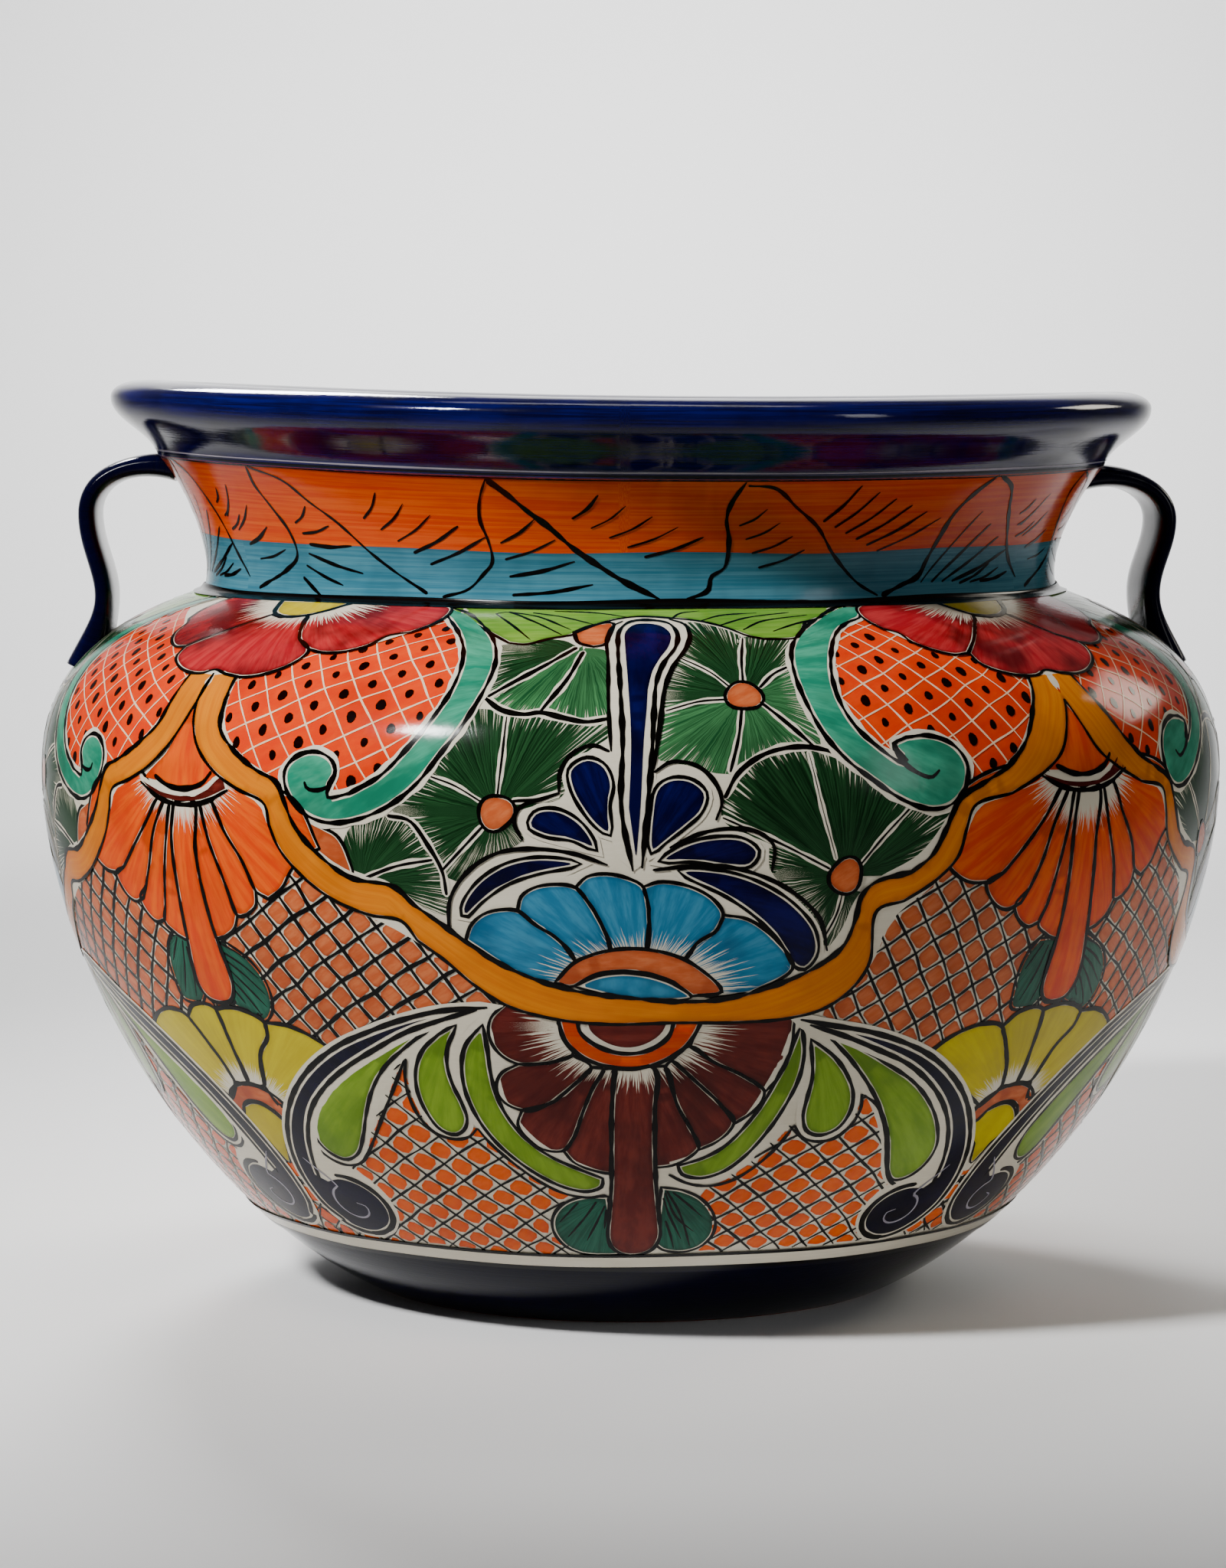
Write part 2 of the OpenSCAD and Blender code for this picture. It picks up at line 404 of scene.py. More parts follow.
def strap_handle(name, turn):
    """A pulled strap: a soft-edged section with a shallow groove down its outer face, bent along the strap's line,
    its inner face darkened as painted shade.
    """
    stations, around = 84, 48
    co, brush = [], []
    travelled = 0
    last = None
    for i in range(stations + 1):
        u = 3 * i / stations
        k = min(int(u), 2)
        t = u - k
        centre = bezier(STRAP[k], t)[0]
        run = bezier(STRAP[k], min(t + 0.01, 1))[0] - bezier(STRAP[k], max(t - 0.01, 0))[0]
        run /= np.hypot(*run)
        out = np.array([-run[1], run[0]])
        travelled += 0 if last is None else np.hypot(*(centre - last))
        last = centre
        half = strap_t / 2 + 1.6 * max(0, 1 - u / 0.6) ** 2 + 4 * max(0, u - 2) ** 2
        wide = strap_w / 2 + 1.5 * max(0, 1 - u / 0.5) + 3 * max(0, u - 2.3) ** 2
        for j in range(around):
            q = 2 * math.pi * j / around
            c, s = math.cos(q), math.sin(q)
            side = wide * math.copysign(abs(c) ** 0.55, c)
            depth = half * math.copysign(abs(s) ** 0.7, s)
            groove = 0.5 * math.exp(-(side / 7) ** 2) * max(0, s)
            p = centre + out * (depth - groove)
            angle = math.degrees(math.atan2(side, p[0]))
            co.append(placed(turn - angle, math.hypot(side, p[0]), p[1]))
            # The inner face, towards the pot, gets -2 as its distance from an edge, so it takes the glaze's whole
            # pooled darkening: painted shade between the strap and the wall. The outer face pools only near its
            # sides.
            brush.append((side + 30, travelled * 3, min(wide - abs(side), 3) if s > 0 else -2))
    faces = []
    for i in range(stations):
        for j in range(around):
            m = (j + 1) % around
            faces.append((i * around + j, i * around + m, (i + 1) * around + m, (i + 1) * around + j))
    faces.append(tuple(range(around - 1, -1, -1)))
    faces.append(tuple(range(stations * around, (stations + 1) * around)))
    build(name + "_glazed", np.array(co), faces, [STRAP_BLUE], np.array(brush), cad=[name])


strap_handle("left_handle", -90)
strap_handle("right_handle", 90 + right_handle_turn)

# ---------------------------------------------------------------- painting
# A painted point is (a, s): a in degrees from its place's middle, s in millimetres up the outline. A place is
# (turn, 1), or (turn, -1) if it is mirrored, and what is painted repeats at every place listed in where.
random.seed(7)
PANELS = [(0, 1), (90, -1), (180, 1), (270, -1)]
PEAKS = [(-45, 1), (45, 1), (135, 1), (225, 1)]
NECK = [(0, 1), (120, 1), (240, 1)]
FILL_GRID = 4.0     # spacing of the points inside a filled shape, in millimetres
DOME_SLOPE = 2.2    # thick paint reaches its full height this far in from its edge
CELL_ROOM = 0.9     # what a net's cells keep clear of the edge of their area
paint = {}
where = PANELS


def lay(piece, a, s, level, faces, brush):
    """Adds painted faces to a piece, once for each place."""
    store = paint.setdefault(piece, {"co": [], "normal": [], "brush": [], "faces": [], "count": 0})
    lift = SKIN + LEVEL * np.asarray(level, float) + 0 * a
    for turn, sign in where:
        angle = turn + sign * a
        store["co"].append(on_pot(angle, s, lift))
        store["normal"].append(pot_normal(angle, s))
        store["brush"].append(brush)
        first = store["count"]
        for face in faces:
            ordered = face if sign > 0 else face[::-1]
            store["faces"].append(tuple(first + v for v in ordered))
        store["count"] += len(a)


def flat(points):
    """(a, s) as plane millimetres, true to size at the points' middle height."""
    p = np.asarray(points, float)
    k = mm_per_degree(p[:, 1].mean())
    return p * [k, 1], k


def through(points, closed=False, step=1.7, stretch=None):
    """A smooth line through the points, resampled evenly."""
    p = np.asarray(points, float)
    k = stretch or mm_per_degree(p[:, 1].mean())
    p = p * [k, 1]
    if closed:
        p = np.vstack([p[-1], p, p[:2]])
    else:
        p = np.vstack([2 * p[0] - p[1], p, 2 * p[-1] - p[-2]])
    out = []
    for i in range(1, len(p) - 2):
        p0, p1, p2, p3 = p[i - 1:i + 3]
        t01, t12, t23 = [max(np.hypot(*(b - a)), 1e-6) ** 0.5 for a, b in ((p0, p1), (p1, p2), (p2, p3))]
        m1 = (p2 - p1) + t12 * ((p1 - p0) / t01 - (p2 - p0) / (t01 + t12))
        m2 = (p2 - p1) + t12 * ((p3 - p2) / t23 - (p3 - p1) / (t12 + t23))
        t = np.linspace(0, 1, 14, endpoint=False)[:, None]
        out.append((2 * t ** 3 - 3 * t ** 2 + 1) * p1 + (t ** 3 - 2 * t ** 2 + t) * m1
                   + (-2 * t ** 3 + 3 * t ** 2) * p2 + (t ** 3 - t ** 2) * m2)
    out.append(p[-2:-1])
    line = np.vstack(out)
    run = lengths(line)
    count = max(3, int(round(run[-1] / step)))
    at = np.linspace(0, run[-1], count + 1)
    line = np.stack([np.interp(at, run, line[:, c]) for c in (0, 1)], -1)
    if closed:
        line = line[:-1]
    return line / [k, 1]


def joined(*strokes):
    """A closed outline of smooth strokes that meet at corners. Each stroke starts where the last one ended."""
    stretch = mm_per_degree(np.mean([p[1] for stroke in strokes for p in stroke]))
    parts = []
    for i, stroke in enumerate(strokes):
        following = strokes[(i + 1) % len(strokes)][0]
        points = list(stroke) + ([] if tuple(stroke[-1]) == tuple(following) else [following])
        parts.append(through(points, stretch=stretch)[:-1] if len(points) > 1 else np.array(points, float))
    return np.vstack(parts)


def to_edges(p, outline):
    """Distance of each point from the nearest edge of a closed outline."""
    a, b = outline, np.roll(outline, -1, axis=0)
    ab = b - a
    t = ((p[:, None, :] - a) * ab).sum(-1) / np.maximum((ab ** 2).sum(-1), 1e-12)
    near = a + np.clip(t, 0, 1)[..., None] * ab
    return np.hypot(*np.moveaxis(p[:, None, :] - near, -1, 0)).min(1)


def inside(p, outline):
    """Whether each point lies inside a closed outline."""
    x, y = p[:, 0][:, None], p[:, 1][:, None]
    ax, ay = outline.T
    bx, by = np.roll(outline, -1, axis=0).T
    crosses = (ay > y) != (by > y)
    at = (bx - ax) * (y - ay) / np.where(by == ay, 1e-9, by - ay) + ax
    return (crosses & (x < at)).sum(1) % 2 == 1


def shrunk(outline, by):
    """The outline moved inwards (outwards if by is negative), in millimetres, with its corners kept sharp."""
    p, k = flat(outline)
    area = (p[:, 0] * np.roll(p[:, 1], -1) - np.roll(p[:, 0], -1) * p[:, 1]).sum()
    if area < 0:
        p = p[::-1]
    if not by:
        return p / [k, 1]
    run = np.roll(p, -1, axis=0) - p
    run /= np.maximum(np.hypot(*run.T), 1e-9)[:, None]
    ahead = np.stack([-run[:, 1], run[:, 0]], -1)
    behind = np.roll(ahead, 1, axis=0)
    middle = ahead + behind
    middle /= np.maximum(np.hypot(*middle.T), 1e-9)[:, None]
    q = p + by * middle / np.maximum((middle * ahead).sum(1), 0.45)[:, None]
    return q[to_edges(q, p) > abs(by) * 0.93] / [k, 1]


def rays(root, width, start=0.0, ring=None):
    """Brush marks that run outwards from a root. start is how far from the ring round the root the colour begins."""
    def mark(points, k):
        d = (points - root) * [k, 1]
        if ring:
            far = (np.hypot(d[:, 0] / ring[0], d[:, 1] / ring[1]) - 1) * (ring[0] + ring[1]) / 2
        else:
            far = np.hypot(*d.T)
        return far - start, np.arctan2(d[:, 1], d[:, 0]) * width
    return mark


def along_line(points):
    """Brush marks that follow a line, for a band with that line as its edge."""
    edge, k = flat(points)

    def mark(p, _):
        gap = p[:, None, :] * [k, 1] - edge[None]
        far = np.hypot(*np.moveaxis(gap, -1, 0))
        return far.argmin(1) * 1.7 + PAST_FEATHER, far.min(1)
    return mark


def strokes_at(slope=0.0):
    """Straight brush marks, turned by slope degrees from level."""
    c, s = math.cos(math.radians(slope)), math.sin(math.radians(slope))

    def mark(points, k):
        x, y = points[:, 0] * k, points[:, 1]
        return x * c + y * s + PAST_FEATHER, y * c - x * s
    return mark


def fill(piece, outline, level, inset=0.0, mark=None, dome=0.0):
    """Fills a closed outline with paint. dome raises its middle by so many levels."""
    whole = outline
    outline = shrunk(whole, inset)
    if len(outline) < 4:
        return
    edge, k = flat(outline)
    low, high = edge.min(0), edge.max(0)
    rows = np.arange(low[1] + FILL_GRID / 2, high[1], FILL_GRID * 0.87)
    inner = [(x, y) for i, y in enumerate(rows)
             for x in np.arange(low[0] + FILL_GRID / 2 * (i % 2 + 0.5), high[0], FILL_GRID)]
    if inner:
        inner = np.array(inner)
        inner = inner[inside(inner, edge)]
    if len(inner):
        inner = inner[to_edges(inner, edge) > FILL_GRID * 0.45]
    p = np.vstack([edge, inner]) if len(inner) else edge
    n = len(edge)
    verts, _, faces, *_ = geometry.delaunay_2d_cdt([Vector(v) for v in p], [], [list(range(n))], 1, 1e-4, False)
    verts = np.array([tuple(v) for v in verts])
    faces = [f for f in faces if len(f) == 3]
    if not faces:
        return
    if inset > 0:
        whole_edge, whole_k = flat(whole)
        centres = np.array([verts[list(f)].mean(0) for f in faces])
        good = inside(centres, whole_edge * [k / whole_k, 1])
        faces = [f for f, fine in zip(faces, good) if fine]
    faces = oriented(faces, verts)
    depth = to_edges(verts, edge)
    along, across = (mark or strokes_at())(verts / [k, 1], k)
    brush = np.stack([along, across, depth], -1)
    height = level + dome * np.minimum(depth / DOME_SLOPE, 1)
    lay(piece, verts[:, 0] / k, verts[:, 1], height, faces, brush)


def line(piece, points, width, level, closed=False, taper=(0.45, 0.45), rough=0.16, smooth=True):
    """A brush line. taper is how narrow its two ends are, as a fraction of its width."""
    p = through(points, closed) if smooth else np.asarray(points, float)
    q, k = flat(p)
    n = len(q)
    if closed:
        run = np.roll(q, -1, axis=0) - np.roll(q, 1, axis=0)
    else:
        run = np.gradient(q, axis=0)
    run /= np.maximum(np.hypot(*run.T), 1e-9)[:, None]
    side = np.stack([-run[:, 1], run[:, 0]], -1)
    far = lengths(q)
    phase = random.uniform(0, 6)
    wide = width / 2 * (1 + rough * np.sin(far * 0.31 + phase) + rough * 0.6 * np.sin(far * 0.83 + 2 * phase))
    if not closed:
        reach = max(min(9.0, far[-1] * 0.4), 1e-6)
        for end, amount in ((far, taper[0]), (far[-1] - far, taper[1])):
            wide = wide * (amount + (1 - amount) * np.clip(end / reach, 0, 1) ** 0.6)
        q = np.vstack([q[0] - run[0] * wide[0] * 0.8, q, q[-1] + run[-1] * wide[-1] * 0.8])
        side = np.vstack([side[0], side, side[-1]])
        wide = np.r_[wide[0] * 0.25, wide, wide[-1] * 0.25]
        far = np.r_[far[0] - 0.5, far, far[-1] + 0.5]
        n += 2
    verts = np.vstack([q - side * wide[:, None], q + side * wide[:, None]])
    faces = [(i, (i + 1) % n, n + (i + 1) % n, n + i) for i in range(n if closed else n - 1)]
    brush = np.stack([np.r_[far, far] + PAST_FEATHER, np.r_[-wide, wide], np.full(2 * n, 2.0)], -1)
    lay(piece, verts[:, 0] / k, verts[:, 1], level, faces, brush)


def oriented(faces, verts):
    """Faces turned so that they all look outwards."""
    out = []
    for f in faces:
        x, y = verts[list(f)].T
        area = (x * np.roll(y, -1) - np.roll(x, -1) * y).sum()
        out.append(f if area > 0 else f[::-1])
    return out


def outlined(piece, outline, levels, inset, mark, dome, line_width, ink="ink"):
    """A shape painted in cream, then in its colour, then round its edge, at three levels."""
    fill("cream_halos", outline, levels[0])
    fill(piece, outline, levels[1], inset, mark, dome)
    line(ink, outline, line_width, levels[2], closed=True, smooth=False)


def cell(piece, outline, level, line_width, gap, mark=None, dome=0.8):
    """A painted cell: colour, a thin cream gap round it, and a black brush outline."""
    outlined(piece, outline, (level, level + 1, level + 1.5), line_width / 2 + gap, mark, dome, line_width)


def disc(at, radius, squash=1.0, points=16):
    """A hand-painted round blob, as an outline. radius is in millimetres."""
    wobble = 0.06
    k = mm_per_degree(at[1])
    turn = random.uniform(0, 6)
    out = []
    for i in range(points):
        t = 2 * math.pi * i / points
        r = radius * (1 + wobble * math.sin(2 * t + turn) + wobble * math.sin(3 * t + 2 * turn))
        out.append((at[0] + r * math.cos(t) / k, at[1] + r * math.sin(t) * squash))
    return np.array(out)


def lattice(region, rise, fall, spacing, origin):
    """The crossings of two sets of slanted lines over a region, each moved a little, as by an unsteady hand."""
    k = mm_per_degree(region[:, 1].mean())
    dirs = [np.array([math.cos(math.radians(d)), math.sin(math.radians(d))]) for d in (rise, fall)]
    base = np.array(origin, float) * [k, 1]
    flat_region = region * [k, 1]
    cross = abs(dirs[0][0] * dirs[1][1] - dirs[0][1] * dirs[1][0])
    gaps = [spacing[0] / cross, spacing[1] / cross]
    reach = int(140 / min(gaps)) + 1
    spots = {}
    low, high = flat_region.min(0) - 12, flat_region.max(0) + 12
    for i in range(-reach, reach):
        for j in range(-reach, reach):
            p = base + dirs[0] * i * gaps[1] + dirs[1] * j * gaps[0]
            if (p > low).all() and (p < high).all():
                jitter = np.array([random.uniform(-0.5, 0.5), random.uniform(-0.5, 0.5)])
                spots[i, j] = p + jitter
    return k, flat_region, spots


def clipped_runs(points, region):
    """The stretches of a polyline that lie inside a region."""
    fine = through(points, step=1.2, stretch=1.0)
    keep = inside(fine, region)
    runs, current = [], []
    for p, good in zip(fine, keep):
        if good:
            current.append(p)
        elif current:
            runs.append(current)
            current = []
    if current:
        runs.append(current)
    return [np.array(r) for r in runs if len(r) > 2]


def clear(point, area, room):
    """Whether a point lies inside an area with so much room to its edge."""
    return inside(point[None], area)[0] and to_edges(point[None], area)[0] > room


def net_dot(middle, area, k, level):
    """A dark dot in a net's cell."""
    if clear(middle, area, 2.0):
        at = middle / [k, 1] + np.array([random.uniform(-0.15, 0.15), 0])
        fill("ink_dots", disc(at, random.uniform(1.3, 1.9), 1.25, 10), level)


def net_square(piece, corners, area, k, slope, margin, roundness, level):
    """A painted square with rounded corners in a net's cell, pulled in where it would leave the area."""
    middle = corners.mean(0)
    size = np.hypot(*(corners - middle).T).mean()
    shape = middle + (corners - middle) * (1 - margin / (size * 0.72))
    blob = []
    for c in range(4):
        a, b, d = shape[c - 1], shape[c], shape[(c + 1) % 4]
        for t in (0.0, 0.33, 0.67):
            q = b + (a - b) * roundness * 0.5 * (1 - t) + (d - b) * roundness * 0.5 * t
            blob.append(q * 0.75 + (b + (a - b) * 0.1 + (d - b) * 0.1) * 0.25)
    blob = np.array(blob)
    good = inside(blob, area) & (to_edges(blob, area) > CELL_ROOM)
    if good.sum() < 4:
        return
    centre = blob[good].mean(0)
    if not good.all() and not inside(centre[None], area)[0]:
        return
    for b in np.nonzero(~good)[0]:
        for t in np.linspace(1, 0, 12):
            q = centre + (blob[b] - centre) * t
            if clear(q, area, CELL_ROOM):
                break
        blob[b] = q
    n = len(blob)
    verts = np.vstack([blob.mean(0), blob])
    size = np.hypot(*(blob - verts[0]).T).mean()
    if size < 1.2:
        return
    faces = oriented([(0, b + 1, (b + 1) % n + 1) for b in range(n)], verts)
    along, across = strokes_at(slope)(verts / [k, 1], k)
    tone = random.uniform(-40, 40)
    brush = np.stack([along + tone, across + tone, np.r_[size, np.zeros(n)]], -1)
    lay(piece, verts[:, 0] / k, verts[:, 1], level + np.r_[0.6, np.zeros(n)], faces, brush)


def net(region, rise, fall, spacing, origin, line_piece, line_width, cell_piece=None, margin=0.6, roundness=0.55):
    """A painted net: slanted lines, with a rounded square of cell_piece in each cell, or else a dot."""
    k, area, spots = lattice(region, rise, fall, spacing, origin)
    rows = {}
    for (i, j), p in spots.items():
        rows.setdefault(("fall", i), []).append((j, p))
        rows.setdefault(("rise", j), []).append((i, p))
    for _, found in sorted(rows.items(), key=lambda item: item[0]):
        found.sort(key=lambda item: item[0])
        if len(found) < 3:
            continue
        for run in clipped_runs(np.array([p for _, p in found]), area):
            line(line_piece, run / [k, 1], line_width * random.uniform(0.8, 1.2), 3, taper=(0.6, 0.6), smooth=False)
    for i, j in spots:
        corners = [spots.get(key) for key in ((i, j), (i + 1, j), (i + 1, j + 1), (i, j + 1))]
        if any(c is None for c in corners):
            continue
        corners = np.array(corners)
        if cell_piece:
            net_square(cell_piece, corners, area, k, rise, margin, roundness, 2)
        else:
            net_dot(corners.mean(0), area, k, 3)


# ---------------------------------------------------------------- what is painted in each panel
# Long lines shared by several cells, listed from left to right.
GARLAND_TOP = [
    [(-41.7, 286), (-41.2, 272), (-40.6, 263), (-38.7, 256.5), (-35.5, 249.5), (-33, 245.5)],
    [(-32.2, 240), (-31, 231), (-28.5, 221.5), (-25.5, 214.5), (-21.3, 212)],
    [(-19.5, 206), (-17, 199.5), (-13, 188.5), (-9, 181), (-5, 176.5), (0, 174), (5, 172.5), (9, 173.5),
     (13, 177.5), (17, 184), (19.5, 191.5), (20.4, 201), (20.8, 209), (22, 213.5)],
    [(25.5, 216.5), (27.5, 222), (29, 232), (30.6, 241.5), (32.5, 245)],
    [(35.5, 250), (38, 258), (40, 269), (41.4, 278), (42, 286)]]
GARLAND_FOOT = [
    [(-45, 272), (-44.3, 264), (-43, 256), (-40.5, 248), (-37.5, 242.5), (-34.3, 238)],
    [(-33.8, 231), (-32.8, 223), (-30.5, 214), (-27.5, 206.5), (-24, 201.8), (-20.8, 200)],
    [(-19.5, 193.5), (-17, 186.5), (-14.5, 178), (-11.5, 170.5), (-7, 165.7), (-2, 164), (4, 164.5), (10, 164.3),
     (15, 165.3), (18.5, 168.7), (21, 176), (22.3, 185), (22.4, 203.5)],
    [(25, 206.5), (28, 213), (30.2, 221), (31, 231), (31.8, 238)],
    [(36, 241.5), (40, 248), (42.5, 254.5), (44, 264), (45, 273)]]


def chained(strokes):
    """Several smooth strokes, one after another, as one open line with corners between them."""
    middle_height = 200
    stretch = mm_per_degree(middle_height)
    parts = []
    for i, stroke in enumerate(strokes):
        points = stroke + ([strokes[i + 1][0]] if i + 1 < len(strokes) else [])
        dense = through(points, stretch=stretch)
        parts.append(dense[:-1] if i + 1 < len(strokes) else dense)
    return np.vstack(parts)


def garland():
    """The golden band that swags from peak to peak."""
    top, foot = chained(GARLAND_TOP), chained(GARLAND_FOOT)
    outline = np.vstack([[(-45.36, 290), (-42, 290)], top, [(42, 290), (45.36, 290), (45.36, 273)], foot[::-1],
                         [(-45.36, 272)]])
    fill("cream_halos", outline, 7)
    fill("golden_garland", outline, 8, 0.6, along_line(top), 0.8)
    line("ink_bold", top, 1.7, 9, smooth=False, rough=0.3)
    line("ink", foot, 1.2, 9, smooth=False, taper=(0.9, 0.9))
    line("ink", [(-45, 286), (-45, 279), (-45, 271)], 1.7, 9)


SCROLL_LEFT = joined(
    [(-22.8, 332.6), (-19.5, 327.5), (-16.6, 318), (-14.4, 307), (-13.4, 295), (-13.6, 284), (-15, 269),
     (-17, 257), (-19, 247), (-21.5, 239.5), (-25, 234), (-28, 233), (-30.4, 236.5), (-31.9, 243), (-32.2, 250),
     (-31, 255), (-29, 256.6), (-27.4, 254), (-26.9, 250)], [(-27.4, 246), (-27.6, 241.5)],
    [(-25.4, 243), (-22.4, 249.5), (-20.4, 257.5), (-18.4, 268), (-17, 280), (-16.7, 291), (-17.3, 302),
     (-18.8, 312), (-20.8, 321), (-22.4, 327), (-24.5, 332.6)])
SCROLL_RIGHT = joined(
    [(29, 332.6), (27.5, 323.5), (25, 319), (22.6, 311.5), (20.7, 300), (19.6, 288), (19.5, 277), (20.4, 267.5),
     (22, 260.5), (24.6, 253.5)], [(25, 254.5), (23.9, 259.8)],
    [(25.3, 262.3), (27.6, 262.6), (30, 259), (31.2, 252), (30.8, 244), (29.2, 238.6), (27.2, 237.6), (24.5, 241),
     (21.5, 248.5), (19.2, 255.5), (17.3, 265), (16.2, 277), (15.9, 289), (16.6, 302), (18.6, 313), (21, 320.5),
     (23.8, 328), (26.5, 332.6)])


def scrolls():
    """The two green scrolls that curl in under the flowers."""
    for outline, root in ((SCROLL_LEFT, (-4, 290)), (SCROLL_RIGHT, (4, 290))):
        line("cream_halos", outline, 4.0, 4, closed=True, smooth=False)
        fill("teal_scrolls", outline, 5, 1.3, rays(root, 30), 0.9)
        line("ink_bold", outline, 1.5, 6, closed=True, smooth=False, rough=0.3)
    line(
        "ink_bold", [(-26.9, 250), (-27.3, 246), (-28.3, 243.8), (-29.7, 244), (-30, 246)], 1.6, 6.5,
        taper=(0.6, 0.5))
    line(
        "ink_bold", [(24, 259.5), (24.5, 254.5), (25.9, 250.2), (27.4, 248.3), (28.2, 250.5)], 1.8, 6.5,
        taper=(1, 0.4))


def nets():
    """The dotted nets beside the scrolls, and the checked nets below the garland."""
    left = joined(
        [(-42, 300), (-42, 262), (-38, 252), (-33, 244), (-29, 240)],
        [(-25.5, 242), (-22, 249), (-19.8, 258), (-18, 268), (-16.9, 282), (-17, 296), (-18.5, 310), (-21, 322)],
        [(-24, 318), (-32, 306)])
    right = joined(
        [(27.5, 322), (25, 319), (22.2, 311), (20.4, 300), (19.4, 288), (19.5, 275), (21, 264), (23.6, 256)],
        [(27, 250), (31.5, 243)], [(36, 249), (39, 258), (42, 274), (43, 292)], [(36, 300), (30, 312)])
    for area, start in ((left, (-30, 280)), (right, (31, 276))):
        fill("orange_net", area, 1, 0, strokes_at(25))
        net(area, 28, -55, (10.5, 10.5), start, "cream_net_lines", 0.6)
    upper_left = joined(
        [(-46, 200), (-40, 196), (-34, 212), (-32, 221)], [(-26, 207), (-20.8, 202)],
        [(-19, 194), (-14.6, 180), (-11, 172)], [(-14, 167.5), (-23, 160), (-30, 149)],
        [(-34, 150), (-39, 156), (-45, 158)])
    net(upper_left, 33, -56, (9.0, 8.6), (-26, 181), "ink_bold", 1.3, "terracotta")
    upper_right = joined(
        [(31, 226), (26.5, 213), (22, 206), (21.8, 185), (17.5, 170)], [(20, 159), (25, 154), (30, 147)],
        [(34, 150), (39, 156), (45, 158)], [(46, 200), (38, 206), (33, 216)])
    net(upper_right, 31, -60, (8.6, 8.4), (30, 184), "ink", 0.9, "terracotta", 0.5)
    low_left = joined(
        [(-46, 104), (-37, 103), (-33, 102), (-30, 113), (-26, 133), (-23.5, 146)],
        [(-22, 122), (-19.5, 117), (-16.4, 121)], [(-13.2, 108), (-9.4, 97), (-6.4, 91)],
        [(-9.5, 82), (-10, 70), (-7.5, 57.5)], [(-30, 57.2), (-45, 57)])
    net(low_left, 38, -50, (9.3, 9.0), (-20, 82), "ink", 0.85, "orange_checks", 0.62, 0.8)
    low_right = joined(
        [(8.3, 57.5), (9.9, 64), (9.9, 76), (8, 90)], [(11, 98), (14.5, 109), (17.4, 121.5)],
        [(20, 117), (23, 117), (25, 133)], [(28.3, 121), (30.8, 104), (33, 92), (40, 90), (46, 90)],
        [(46, 57), (30, 57.2)])
    net(low_right, 38, -47, (9.0, 8.8), (20, 86), "ink", 0.95, "orange_checks", 0.6, 0.75)


def valance():
    """The pale green edging under the neck, with fans of veins."""
    outline = joined(
        [(-23, 332.6), (-18, 320), (-14.8, 311.5)], [(-12.8, 306.3), (-10.9, 305.5), (-8.6, 309.3)],
        [(-6.3, 312), (-4, 319), (-1.5, 324), (1, 326), (4.5, 324.8), (8, 322), (10.6, 317), (12.6, 311)],
        [(14.2, 308.8), (18, 309.5)], [(20, 320), (27, 332.6)])
    cell("light_green", outline, 3, 1.3, 0.2, mark=strokes_at(4))
    veins = [
        [(-16, 327.5), (-13.4, 319), (-10.6, 308.5)], [(-16, 327.5), (-14.7, 328.8), (-11, 321.5), (-7.4, 312)],
        [(-14.5, 329), (-10.8, 325.5), (-6.5, 315.5)], [(-11.5, 328.5), (-8, 325.5), (-4.2, 319.8)],
        [(-9, 330), (-4, 328.8), (-0.3, 325.4)], [(12.4, 315.3), (15, 321.5), (21, 326)],
        [(9.9, 318.6), (13.5, 324.5), (19, 328.3)], [(7.8, 322), (10.5, 326.5), (15, 328.3)],
        [(4.8, 324.6), (5.8, 328.4), (8.2, 330.4)], [(15.7, 314), (18, 318), (21.4, 322.8)]]
    for points in veins:
        line("ink", points, 1.0, 5, taper=(0.7, 0.3))


def leaf(piece, apex, first, edge, last):
    """A feathered green cell: from its apex along one vein, round its outer edge and back along the other vein."""
    feather_start = 0.8
    outline = joined([apex] + first, edge, last)
    outer = through([first[-1] if first else apex] + edge[1:] if len(edge) > 1 else edge + last)
    flat_outer, k = flat(outer)

    def mark(points, _):
        p = points * [k, 1]
        far = np.hypot(*np.moveaxis(p[:, None, :] - flat_outer[None], -1, 0)).min(1)
        d = (points - np.array(apex)) * [k, 1]
        return far + feather_start, np.arctan2(d[:, 1], d[:, 0]) * 34
    fill(piece, outline, 1, -1.3, mark)


def vein(points, width):
    """A black line with a cream edge on either side."""
    line("cream_halos", points, width + 1.6, 2, taper=(0.8, 0.8))
    line("ink", points, width, 3, taper=(0.8, 0.6))


